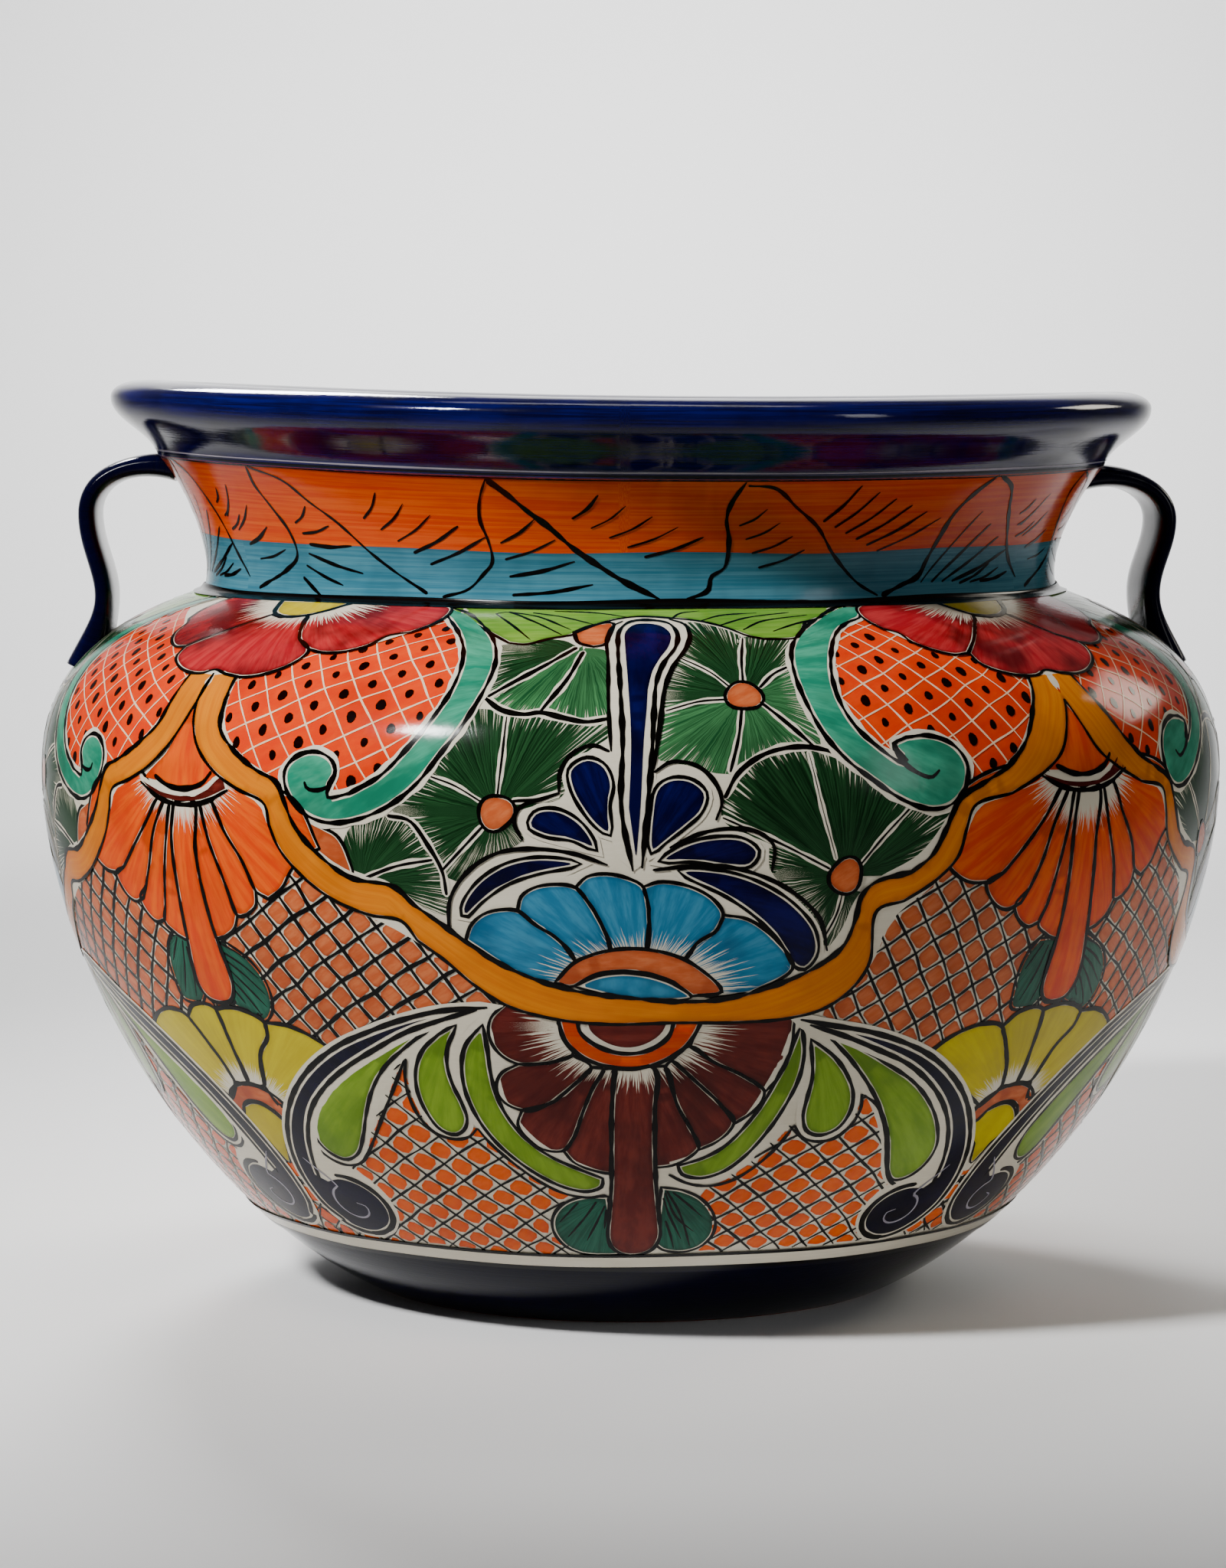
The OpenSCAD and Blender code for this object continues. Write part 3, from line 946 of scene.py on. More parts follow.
def bell_leaves():
    """The round feathered leaves inside the garland's swag, on either side of the spear."""
    dot_left, dot_right, dot_top = (-11.7, 238), (19.2, 216), (10.5, 279.5)
    for piece, apex, first, edge, last in [
            ("lily_leaves", dot_left, [(-11.4, 250), (-11.2, 271)],
             [(-11.2, 271.5), (-14.5, 272), (-17, 259), (-18.5, 250)], [(-18, 249.8), (-15, 246)]),
            ("lily_leaves", dot_left, [(-8, 242.5), (-6.2, 244.5)],
             [(-6.1, 252), (-3.5, 261), (-2, 266), (-5, 269.5), (-8, 272), (-11, 271)],
             [(-11.2, 270), (-11.4, 250)]),
            ("lily_leaves", dot_left, [(-15, 246), (-18, 249.8)],
             [(-19.5, 245), (-21, 239), (-20, 235.5), (-18, 226.5), (-16.8, 219)], [(-16.5, 218.5), (-14, 229)]),
            ("lily_leaves", dot_left, [(-14, 229), (-16.5, 218)],
             [(-15.5, 216), (-13, 223.5), (-10.5, 227.5), (-9.6, 230)], [(-9.8, 231), (-10.4, 233.5)]),
            ("lily_leaves", (-24.5, 213.5), [(-25.8, 224), (-25, 231)],
             [(-22.6, 235.5), (-20.4, 234.5), (-18.8, 229.5), (-17.4, 222)], [(-17.8, 221.5), (-21, 218.5)]),
            ("lily_leaves", (-24, 213.5), [(-20.6, 219), (-17.2, 221.5)],
             [(-16.5, 214), (-16.6, 204), (-18.5, 206.5)], [(-20, 211.5), (-22, 212.5)]),
            ("lily_leaves", (-5.6, 303), [(-8.4, 293.5), (-13, 279.5)],
             [(-14, 286), (-13.6, 297), (-13.2, 304), (-11, 304.5)], [(-9, 308), (-7, 307)]),
            ("skirt_leaf", (-5.2, 302.5), [(-8.2, 293.5), (-13.2, 278.5)],
             [(-11.6, 273.8), (-9.8, 272.4), (-8.2, 273)], [(-6.6, 282), (-5, 296)]),
            ("skirt_leaf", (-4.4, 302.5), [(-6.2, 285), (-8, 273.3)], [(-6, 271), (-4, 269.8), (-2.7, 271)],
             [(-2.6, 285), (-2.7, 301)]),
            ("lily_leaves", dot_top, [(10.8, 290), (11.8, 309)],
             [(13.5, 309), (17, 308.5), (16.4, 300), (16, 294)], [(15.8, 293), (12.4, 284)]),
            ("lily_leaves", (10.4, 285), [(7.8, 290.5), (5.2, 297.5)],
             [(6, 309), (6.3, 320), (8.5, 319.5), (11.5, 310)], [(11.4, 308), (10.7, 290)]),
            ("lily_leaves", dot_top, [(8, 289.5), (5, 296.5)], [(4.3, 293), (3.4, 284), (3, 274.5)],
             [(3.4, 274), (7.2, 277.6)]),
            ("skirt_leaf", dot_top, [(7.2, 277), (3, 273)], [(2.8, 265), (2.6, 257.5), (5, 256.5), (7.2, 253)],
             [(8.4, 252.5), (9.6, 265)]),
            ("skirt_leaf", dot_top, [(9.8, 265), (9, 253)], [(11.4, 257.5), (14.5, 260), (16.2, 260)],
             [(14.5, 267)]),
            ("skirt_leaf", dot_top, [(14, 270), (16.6, 260)], [(16.4, 267), (15.6, 280), (15.7, 292.5)],
             [(12.6, 284)]),
            ("lily_leaves", dot_right, [(13, 228), (8.3, 236.5)],
             [(8.4, 244), (9.6, 251.5), (12, 257.5), (15, 259.3), (16.6, 258.5)], [(16.9, 250), (18.4, 225)]),
            ("lily_leaves", dot_right, [(18.6, 225), (16.6, 258.5)],
             [(19, 256), (22, 249.5), (24.8, 242), (25.5, 239.5)], [(22.5, 228)]),
            ("lily_leaves", (20.6, 217), [(23, 228.5), (26, 240)], [(29, 237.5), (28.4, 228), (26.6, 220)],
             [(24.5, 216.8)]),
            ("lily_leaves", dot_right, [(12.8, 226.5), (8.6, 234.5)],
             [(10.5, 233), (12.3, 228), (12.6, 219), (15, 211), (17.5, 198)], [(18.2, 200), (18.9, 209)]),
            ("lily_leaves", (19.6, 210), [(18.6, 203), (17.8, 193)], [(19.5, 194), (20.3, 203)], [(20.7, 209)])]:
        leaf(piece, apex, first, edge, last)
    for points, width in [
            ([(-11.6, 243.5), (-11.3, 257), (-11.2, 271)], 0.8),
            ([(-13, 241.5), (-15.5, 246.8), (-17.8, 249.7)], 0.7),
            ([(-10.2, 242), (-8, 242.8), (-6.3, 244.6)], 1.2),
            ([(-13, 233), (-14.6, 226.5), (-16.6, 218.5)], 1.1),
            ([(-24.4, 214), (-21, 219), (-17.6, 221.6)], 1.1),
            ([(-21.6, 236), (-19.6, 234.6), (-18, 227), (-16.7, 218), (-16.4, 210)], 1.5),
            ([(-5.6, 303.5), (-8.4, 293.5), (-13.2, 279)], 1.8), ([(-4.8, 301), (-6, 287), (-8.1, 273.5)], 1.6),
            ([(-13.6, 278.5), (-11.8, 273.6), (-9.6, 272), (-8.2, 272.8), (-6, 270.8), (-4, 269.4), (-2, 270.6)],
             1.9), ([(10.6, 284), (11, 296), (11.9, 309.5)], 1.0),
            ([(9.2, 283.6), (7.6, 290.4), (5, 297.6)], 0.8), ([(8.9, 278), (6.3, 277.2), (3.2, 273.6)], 0.8),
            ([(10.1, 274), (9.6, 264), (8.7, 252)], 1.2), ([(12, 276.5), (14, 269), (16.4, 259.8)], 1.5),
            ([(12.2, 283), (13.8, 289), (16, 293.4)], 1.2),
            ([(8.2, 243.5), (9.4, 251.5), (12, 258), (15.5, 260), (19, 256.5), (22.6, 248), (25.6, 241)], 1.7),
            ([(17.6, 218.8), (13.2, 227.5), (8, 236.6)], 0.8), ([(20.6, 220), (22.6, 228.8), (25.6, 239.8)], 0.8),
            ([(19, 210.5), (18.6, 203), (17.6, 194.5)], 0.7), ([(18.2, 222), (16.8, 240), (15.8, 258)], 0.3)]:
        vein(points, width)
    for at in (dot_left, dot_right, dot_top):
        cell("terracotta", disc(at, 6.1, 1.0, 22), 3, 1.3, 0.1, mark=strokes_at(30))
    top_left = joined(
        [(-6.1, 314), (-4.5, 318.6), (-2, 321)], [(-2.2, 312), (-2.6, 306)],
        [(-3.8, 304.3), (-5.4, 306.8), (-6.1, 314)])
    cell("terracotta", top_left, 3, 1.4, 0.1)
    side = joined(
        [(-31.2, 236), (-28.6, 231.8), (-26.6, 228.3), (-25.6, 221), (-25.3, 214.6)],
        [(-28.6, 221.5), (-31.2, 233)])
    cell("terracotta", side, 2, 1.2, 0.4)


def cobalt_petal(points, outer, root):
    """One cobalt petal of the spray, with its own outline and a second line outside it."""
    outline = through(points, closed=True)
    fill("cream_halos", outline, 4, -2.6)
    fill("cobalt_paint", outline, 5, 0.3, rays(root, 30), 0.8)
    line("ink", shrunk(outline, -0.9), 1.2, 6, closed=True, smooth=False)
    if outer:
        line("ink_bold", outer, 1.5, 6, taper=(0.5, 0.5))


def spray():
    """The cobalt spear and the petals that fan out from its foot."""
    halo = joined(
        [(0.3, 219), (-1.3, 225), (-1.8, 245), (-2, 258), (-1.9, 285), (-2.3, 300), (-2.3, 314), (-1, 322.5)],
        [(1.5, 325), (4.5, 323.5), (6, 318), (6.2, 310), (5, 299), (3.6, 288), (2.9, 276), (2.3, 256), (1.9, 235),
         (1.2, 222)])
    fill("cream_halos", halo, 4)
    root = (0, 217)
    cobalt_petal(
        [(-1.9, 232), (-2, 241), (-1.7, 248), (-2.4, 254), (-3.8, 256), (-5.2, 252.5), (-5, 246.5), (-4, 239.5),
         (-2.8, 234)], [(-1.9, 259), (-3.2, 261), (-5, 258.5), (-6.1, 252), (-6.2, 245)], root)
    cobalt_petal(
        [(-3.2, 227), (-5, 229.8), (-7.4, 231.2), (-8.7, 234), (-8.2, 238), (-6.6, 239), (-5, 236.5),
         (-3.8, 232)], [(-6.2, 244.8), (-8, 242.4), (-9.6, 240), (-10.1, 235), (-9.4, 229)], root)
    cobalt_petal(
        [(-4.8, 221.3), (-8, 222.6), (-11, 220), (-13.5, 213.5), (-14.9, 205.5), (-14.8, 203), (-13.2, 208.5),
         (-10.8, 214.8), (-8, 218.6)],
        [(-2, 221), (-5, 224.8), (-9, 226.2), (-12, 224), (-14.6, 217), (-16.1, 208), (-16.4, 197.5)], root)
    cobalt_petal(
        [(1.9, 226), (1.9, 238), (2.4, 246.5), (3.6, 249.3), (5.3, 248.6), (6.4, 244.5), (6, 239), (4.6, 234),
         (2.9, 229)], [(2.1, 252), (3.6, 255.4), (5.8, 254), (7.3, 248.5), (7.9, 242), (7.4, 236)], root)
    cobalt_petal(
        [(2.9, 222.8), (5, 227.6), (7.6, 229.6), (9.8, 228.8), (11, 225), (10.4, 221), (8.4, 221), (5.4, 222.8)],
        [(3.4, 226.8), (6, 231.4), (8.5, 233), (11, 231.8), (12.5, 227), (12.4, 218.5)], root)
    cobalt_petal(
        [(4.6, 218.6), (8, 218), (11.5, 213.5), (14.5, 206), (16.5, 197), (16.9, 189), (16, 184.3), (15.1, 185.5),
         (13.8, 193.5), (11.5, 202.5), (8.6, 210.5)],
        [(2, 219.3), (6.5, 220.8), (10, 218.8), (14, 212), (17, 201.5), (18, 190)], root)
    spear = joined(
        [(0.5, 221)],
        [(-0.2, 240), (0, 262), (-0.3, 285), (-0.6, 304), (-0.6, 314), (0.4, 319.6), (1.9, 320.5), (3.4, 318.6),
         (4.3, 313), (4, 305), (2.6, 295), (1.8, 286), (1.5, 274), (1.2, 262), (0.9, 240)])
    fill("cobalt_paint", spear, 6, 0.2, rays((1.5, 600), 60), 0.8)
    line(
        "ink_bold",
        [(0.2, 219), (-0.8, 240), (-0.7, 262), (-1, 285), (-1.3, 304), (-1.2, 315), (-0.1, 321.5), (1.9, 323),
         (4.2, 320.5), (5, 313), (4.6, 304), (3.2, 294.5), (2.4, 285), (2.1, 273), (1.8, 255), (1.4, 238),
         (1, 220)], 1.7, 7, rough=0.25)
    line("ink_bold", [(-1.7, 259), (-2, 275), (-2.2, 295), (-2.5, 309), (-2, 318), (-0.9, 322)], 1.3, 7)
    line(
        "ink_bold",
        [(4.4, 323.5), (5.9, 320), (6.3, 312), (5.6, 303), (4.2, 293.5), (3.2, 283), (2.6, 268), (2, 253)], 1.6,
        7)


def between(tips, sides):
    """Outlines of petals that lie side by side. Each runs along its tip, down its last side and up its first one."""
    return [joined(tip, sides[i + 1], sides[i][::-1]) for i, tip in enumerate(tips)]


def half_flower(piece, petals, root, ring, start, level, petal_line=1.2):
    """Petals round a root, with brush marks that begin on a ring round it."""
    for outline in petals:
        outlined(piece, outline, (level, level + 1, level + 2), 0.9, rays(root, 34, start, ring), 0.9, petal_line)


def blue_flower():
    """The sky-blue half-flower that sits on the garland."""
    petals = between(
        [[(-14.9, 194), (-14.3, 199.5), (-12.8, 204), (-10, 205)],
         [(-10, 205), (-9.6, 210), (-8, 213.6), (-4.8, 213.3)],
         [(-4.8, 213.3), (-3.8, 217), (-2, 218), (0, 216.2), (1.1, 213.6)],
         [(1.1, 213.6), (2.6, 215.3), (5.2, 213.6), (7.3, 209), (8.2, 203.6)],
         [(8.2, 203.6), (10.4, 202), (12.8, 195.5), (14.9, 184)]],
        [[(-10, 182), (-6.5, 178)], [(-8.4, 200), (-6.6, 195.5), (-5, 187.5)],
         [(-3.4, 206.5), (-2.4, 199), (-1.8, 191)], [(1.6, 206), (1.4, 191.3)],
         [(7.6, 198), (6, 194), (4.8, 188)], [(11, 175), (6.5, 175)]])
    half_flower("blue_flower", petals, (1, 176), (26, 15), 3, 3)
    ring = joined(
        [(-6.9, 179.5), (-5, 187), (-2.3, 191), (0.4, 192), (3, 190.6), (5.6, 186.4), (8.4, 176)], [(5.7, 174.5)],
        [(4, 179.6), (1.6, 183), (-1, 183.8), (-3.4, 182.2), (-5.4, 178)])
    cell("terracotta", ring, 5, 1.3, 0.1)
    middle = joined([(-5.1, 178), (-3.2, 181.5), (-0.8, 183), (1.6, 182), (4, 178.6), (5.6, 174)], [(0, 173)])
    cell("blue_flower", middle, 4.6, 0.8, 0.5, mark=rays((0, 500), 60))


def garnet_flower():
    """The dark red half-flower that hangs from the garland, with its long tongue."""
    petals = between(
        [[(-11.6, 171.5), (-13.3, 165), (-13.6, 158), (-12.8, 151.5), (-11, 147.6)],
         [(-11, 147.6), (-12.9, 143.5), (-13.6, 137), (-12.8, 130.8), (-10.4, 128)],
         [(-11.2, 128.5), (-11.9, 122), (-11, 115.5), (-9.4, 111), (-7.3, 110.7)],
         [(-7.3, 110.7), (-6.3, 105.5), (-4.3, 101.9), (-1.8, 100.8)]],
        [[(-6.8, 171), (-6.8, 164)], [(-8, 148.3), (-5.6, 151.6)], [(-8, 132), (-5.5, 140), (-3.8, 146.8)],
         [(-6, 117), (-5, 127), (-3.8, 138), (-2.6, 146)], [(-1.7, 116), (-1.5, 146)]])
    petals += between(
        [[(2.6, 103), (4.6, 104), (6.5, 107.8), (7.5, 112.5)],
         [(7.5, 111.2), (9.2, 114.3), (10.5, 119), (10.9, 124)],
         [(11, 122.6), (12.6, 127), (13.5, 132), (13.6, 136.5)]],
        [[(2.5, 125), (2.2, 147)], [(6.4, 120.5), (4.8, 131), (3.4, 147)], [(9, 132), (6.4, 141.3), (4, 149.5)],
         [(11, 143.3), (8, 149), (5.7, 155.2)]])
    petals.append(joined([(13.8, 136.2), (15.2, 144), (15.7, 152), (15.7, 160), (15.3, 167)], [(6.4, 169)],
                         [(6.4, 164)],
                         [(5.7, 155.2), (8, 149), (11, 143.3)]))
    half_flower("garnet_flower", petals, (-0.3, 164), (25, 17), 4.5, 2)
    tongue = joined([(-1.5, 147), (-1.9, 130), (-2.05, 112), (-2.2, 94), (-2.7, 76), (-2.9, 67), (-2.4, 61),
                     (-1, 57.2),
                     (1, 56.8), (2.9, 60), (3.8, 67), (3.6, 77), (3.1, 90), (2.7, 108), (2.5, 128), (2.2, 147)])
    outlined("garnet_flower", tongue, (4.4, 5.2, 6), 1.0, rays((0.3, 164), 34, 7, (25, 17)), 0.8, 1.6)
    ring = joined(
        [(-6.9, 168), (-6.2, 157), (-4.4, 150.5), (-1.9, 147), (0.9, 146.6), (3.5, 150), (5.6, 156.5),
         (6.6, 168)],
        [(4.2, 168), (3.6, 159), (1.6, 153.6), (-0.9, 152.6), (-3.2, 155.5), (-4.8, 161), (-5.1, 168)])
    outlined("orange_petals", ring, (5.6, 6.4, 6.8), 1.0, strokes_at(0), 0.7, 1.7, "ink_bold")
    middle = joined([(-4.3, 168), (-4, 161), (-2.2, 155.6), (-0.2, 154), (1.8, 156), (3.3, 161), (3.5, 168)])
    fill("cream_halos", middle, 5.8, 0.3)
    fill("garnet_flower", middle, 6.4, 0.9, strokes_at(0), 0.7)


def fan_leaves():
    """The dark green leaves with black veins, beside the garnet flower's tongue."""
    left = joined(
        [(-2.6, 88.8), (-5, 88.8), (-7.2, 86.6), (-9, 81.5), (-9.9, 74.5), (-9.7, 67), (-8.4, 60.3), (-6.4, 57),
         (-3, 56.3)], [(-1, 57)], [(-2.4, 66), (-2.4, 78)])
    right = joined(
        [(3.6, 93.5), (6, 92), (8.3, 87.8), (10, 81), (10.8, 73.5), (10.6, 66.5), (9.2, 60.5), (7, 58),
         (4.4, 59.5)], [(3, 64)], [(3.4, 76)])
    for outline, root in ((left, (-2.4, 90)), (right, (3.6, 94))):
        cell("fan_leaves", outline, 2, 1.2, 0.5, mark=rays(root, 40, -PAST_FEATHER))
    for points in (
            [(-3.1, 84), (-4.4, 74), (-5.7, 65)], [(-4.1, 86), (-5.6, 78), (-8.1, 67)],
            [(-6.3, 85.5), (-8.9, 75)], [(-2.9, 82), (-3.3, 72)], [(4.2, 92), (6, 80.5), (7.9, 62)],
            [(4.1, 90.5), (5.6, 78.5), (8.1, 70)], [(5, 91), (7, 84.5), (8.9, 78)],
            [(4.4, 76), (5.2, 68), (5.8, 60.5)], [(3.9, 88), (4.8, 79), (6.6, 66)]):
        line("ink", points, 0.85, 4.4, taper=(0.8, 0.25))


BAND_LEFT = (
    [(-13.5, 169.5), (-18, 167.6), (-22, 163.6), (-26, 158), (-30, 151.3), (-34, 142), (-37.4, 131.5),
     (-40.3, 119.5), (-42.4, 107), (-43.6, 95), (-43.9, 84), (-43.3, 73), (-41.6, 65.6)],
    [(-14.5, 168.6), (-18.5, 163.6), (-22, 158.6), (-26, 150.6), (-30, 142), (-33.6, 132.5), (-36.6, 122),
     (-38.8, 110), (-40.2, 98), (-41, 88)])
BAND_RIGHT = (
    [(16.3, 164.5), (19.5, 161.8), (23.5, 158.6), (27.5, 153.6), (31.3, 147), (35, 137.5), (38.2, 126.5),
     (41, 113), (43, 99), (43.8, 86), (43.5, 74), (42, 66)],
    [(17.3, 162.3), (21, 157.4), (25, 151), (29, 144), (32.6, 134.6), (35.7, 123.4), (38, 111), (39.4, 98),
     (40, 86)])


def curl(centre, sense, count, start, sweep, radius):
    """Points round a centre, from the angle start on through sweep. radius(t) is their distance, t from 0 to 1."""
    k = mm_per_degree(centre[1])
    points = []
    for t in [i / (count - 1) for i in range(count)]:
        turn = math.radians(start + sweep * t)
        points.append((centre[0] + sense * radius(t) * math.cos(turn) / k, centre[1] + radius(t) * math.sin(turn)))
    return points


def scroll_bands():
    """The dark blue bands that sweep down from the garnet flower and roll up at the foot."""
    for outer, inner, centre, size, sense in ((*BAND_LEFT, (-37.4, 76.3), 15.3, -1),
                                              (*BAND_RIGHT, (36.6, 73.4), 14.2, 1)):
        k = mm_per_degree(centre[1])
        roll = curl(centre, sense, 25, -38, -236, lambda t: size * (1.12 - 0.14 * min(t * 3, 1)))
        band = joined(outer + roll[:1], roll[1:-1] + roll[-1:], inner[::-1])
        fill("cream_halos", band, 6.4, -2.4)
        fill("cobalt_bands", band, 7.2, 1.9, rays((0, 60), 60), 0.8)
        line("ink_bold", outer + roll[:6], 2.0, 7.9, taper=(0.4, 0.8), rough=0.12)
        line("ink_bold", roll[5:], 2.4, 7.9, taper=(0.9, 0.7), rough=0.12)
        line("ink_bold", inner, 1.9, 7.9, taper=(0.4, 0.8), rough=0.12)
        grey = curl(centre, sense, 26, 150, -330, lambda t: size * (0.74 - 0.42 * t))
        line("grey_spirals", [(centre[0] + sense * 12 / k, centre[1] + 22)] + grey[6:], 0.9, 8.8, taper=(0.3, 0.3))
        line("grey_spirals", grey[14:] + [(centre[0] - sense * 0.5, centre[1] + 1.5)], 0.7, 8.8, taper=(0.3, 0.5))


def lime_leaves():
    """The lime leaves on either side of the garnet flower, each with a cream edge and a second line outside."""
    leaves = [
        ([(-14.3, 161), (-15.9, 154), (-16.6, 146), (-16.7, 136), (-16, 125), (-14.6, 115), (-12.6, 106.5),
          (-10, 98.8), (-7.4, 93.8), (-5, 92.2), (-3.5, 94.5)],
          [(-3.4, 97.5), (-6, 101.8), (-8.8, 107), (-11, 113.6), (-12.7, 122), (-13.8, 132), (-14.2, 143),
           (-14.2, 153)]),
        ([(-17.1, 161), (-18.2, 153.5), (-18.6, 146), (-18.4, 138), (-17.8, 130), (-17.6, 123.5), (-18.2, 119),
          (-19.3, 117), (-20.6, 119), (-21.6, 126), (-22, 134.5), (-21.6, 143.5), (-20.4, 151.5)],
          [(-18.6, 157.5)]),
        ([(-19.5, 161.5), (-22.6, 153), (-25.4, 144.5), (-27.6, 134.6), (-29.4, 123.5), (-31, 112.5),
          (-32.8, 104), (-35, 100.8), (-37, 104.5), (-37.6, 112), (-36.4, 121), (-34, 129.5), (-30.8, 138),
          (-27, 146.5)], [(-23, 156)]),
        ([(16.4, 160), (16.9, 151), (16.8, 141), (15.9, 130), (14.5, 119), (12.6, 108.6), (10.4, 101.4),
          (8, 98.6), (6, 100.5)], [(5.6, 103.5), (8.2, 106.8), (10.4, 112), (12.2, 120), (13.8, 130), (15, 141),
                                   (15.9, 151)]),
        ([(17.9, 155), (20.2, 148.6), (22, 141), (23.2, 133), (23.4, 125.5), (22.6, 119), (21, 116.5),
          (19.4, 118.4), (18.6, 124.5), (18.6, 133), (18.7, 141)], [(18.3, 149)]),
        ([(19.6, 158), (23.4, 150.4), (26.6, 143.6), (30, 136), (33, 126.5), (35.5, 115.5), (36.9, 105),
          (36.5, 97), (35, 92.3), (33.2, 91.6), (31.8, 96), (30.6, 106), (29, 117.5), (27, 128.5), (24.8, 138.5)],
          [(22.2, 149)])]
    for strokes in leaves:
        outline = joined(*strokes)
        root = strokes[0][0]
        fill("cream_halos", outline, 3.6, -3.4)
        fill("lime_leaves", outline, 4.6, 0.3, rays((root[0], root[1] + 4), 30, -PAST_FEATHER), 0.9)
        line("ink", shrunk(outline, -0.8), 1.45, 5.4, closed=True, smooth=False)
    for points in (
            [(-22.7, 147.5), (-23.3, 139), (-23.3, 130.5), (-22.6, 121.8), (-21, 115.8), (-19.2, 114.2),
             (-17.5, 115.8), (-16.5, 119.5)],
            [(-16.4, 119.5), (-15.4, 113.5), (-13.2, 104.5), (-10.4, 95.6), (-7.6, 90), (-5, 88.4), (-2.9, 89.6)],
            [(-38.7, 107.5), (-37.8, 101.5), (-36.2, 98), (-34.4, 97.4), (-32.6, 99.4), (-30.9, 105),
             (-29.2, 112.5), (-27.4, 121.5), (-25.6, 131), (-24.2, 139), (-22.9, 147)],
            [(17.6, 120.8), (16.3, 112), (14.2, 102.8), (11.6, 96), (8.9, 93.8), (6.6, 95.4), (4.4, 99.6)],
            [(17.7, 120.4), (18.7, 115.6), (20.6, 112.9), (22.8, 114), (24.3, 119.6), (24.8, 126.5),
             (24.5, 132.5)],
            [(24.8, 132.2), (26.8, 127), (28.4, 118), (29.8, 108), (31, 98), (32.6, 90.6), (34.8, 87.3),
             (37, 88.6), (38.3, 93), (38.6, 100)]):
        line("ink", points, 1.3, 5.2, taper=(0.7, 0.7))


def foot_lines():
    """The cream band and the black lines over the dark foot."""
    for piece, s, width, level, wave in (("cream_halos", 52.6, 7.4, 9, 0), ("ink_bold", 56.2, 1.5, 10, 0.35),
                                         ("ink_bold", 48.0, 2.6, 10, 0.35)):
        ring = np.array([(a, s + wave * math.sin(math.radians(a * 8))) for a in np.arange(-45, 45.1, 1.0)])
        line(piece, ring, width, level, taper=(1, 1), rough=0.0, smooth=False)
    below = joined([(-45, S_SEAM - 2), (45, S_SEAM - 2)], [(45, 47.6), (-45, 47.6)])
    fill("cobalt_bands", below, 8.6)


for part in (garland, scrolls, nets, valance, bell_leaves, spray, blue_flower, garnet_flower, fan_leaves,
             scroll_bands, lime_leaves, foot_lines):
    part()


# ---------------------------------------------------------------- what is painted at each peak between the panels
def peak_flower():
    """The crimson half-flower over each peak, with its yellow-green middle."""
    petals = [
        joined([(-8.6, 296.5), (-10.4, 296), (-12.6, 299), (-14.4, 304.5), (-14.9, 310)],
               [(-16.4, 313.5), (-17.4, 321), (-17, 329), (-15.6, 332.6)], [(-4, 332.6)],
               [(-3.2, 328), (-1.5, 320.5), (-3.6, 313), (-6, 304.5)]),
        joined([(10, 299), (12, 297.3), (14.6, 298.3), (16.9, 302.5), (18.3, 308.8)],
               [(20.6, 311.5), (22.5, 318), (23.3, 325.5), (22.9, 331), (21.6, 332.6)], [(8.4, 332.6)],
               [(7.4, 330), (4.6, 321), (6, 312), (7.5, 304.8)]),
        joined([(-8.5, 296.5), (-8.2, 291), (-6.4, 286.6), (-3.8, 284), (-1.6, 284), (-0.2, 286)],
               [(1.8, 284.2), (4.4, 283.4), (7, 285.4), (9.2, 290), (10.2, 295.6), (10, 299)],
               [(7.5, 304.8), (6, 312), (4.6, 320.5)], [(0.8, 318.5)], [(-1.5, 320.5), (-3.6, 313), (-6, 304.5)])]
    half_flower("crimson_flowers", petals, (2, 338), (26, 18), 5.5, 9.6)
    middle = joined([(-4.2, 332.6), (-3.4, 329), (-1.7, 322.4), (0.8, 319.5), (3.2, 320), (5.8, 324), (7.7, 330.5),
                     (8.4, 332.6)])
    cell("yellow_flowers", middle, 11.6, 1.9, 0.4, mark=rays((2, 345), 30, -PAST_FEATHER))


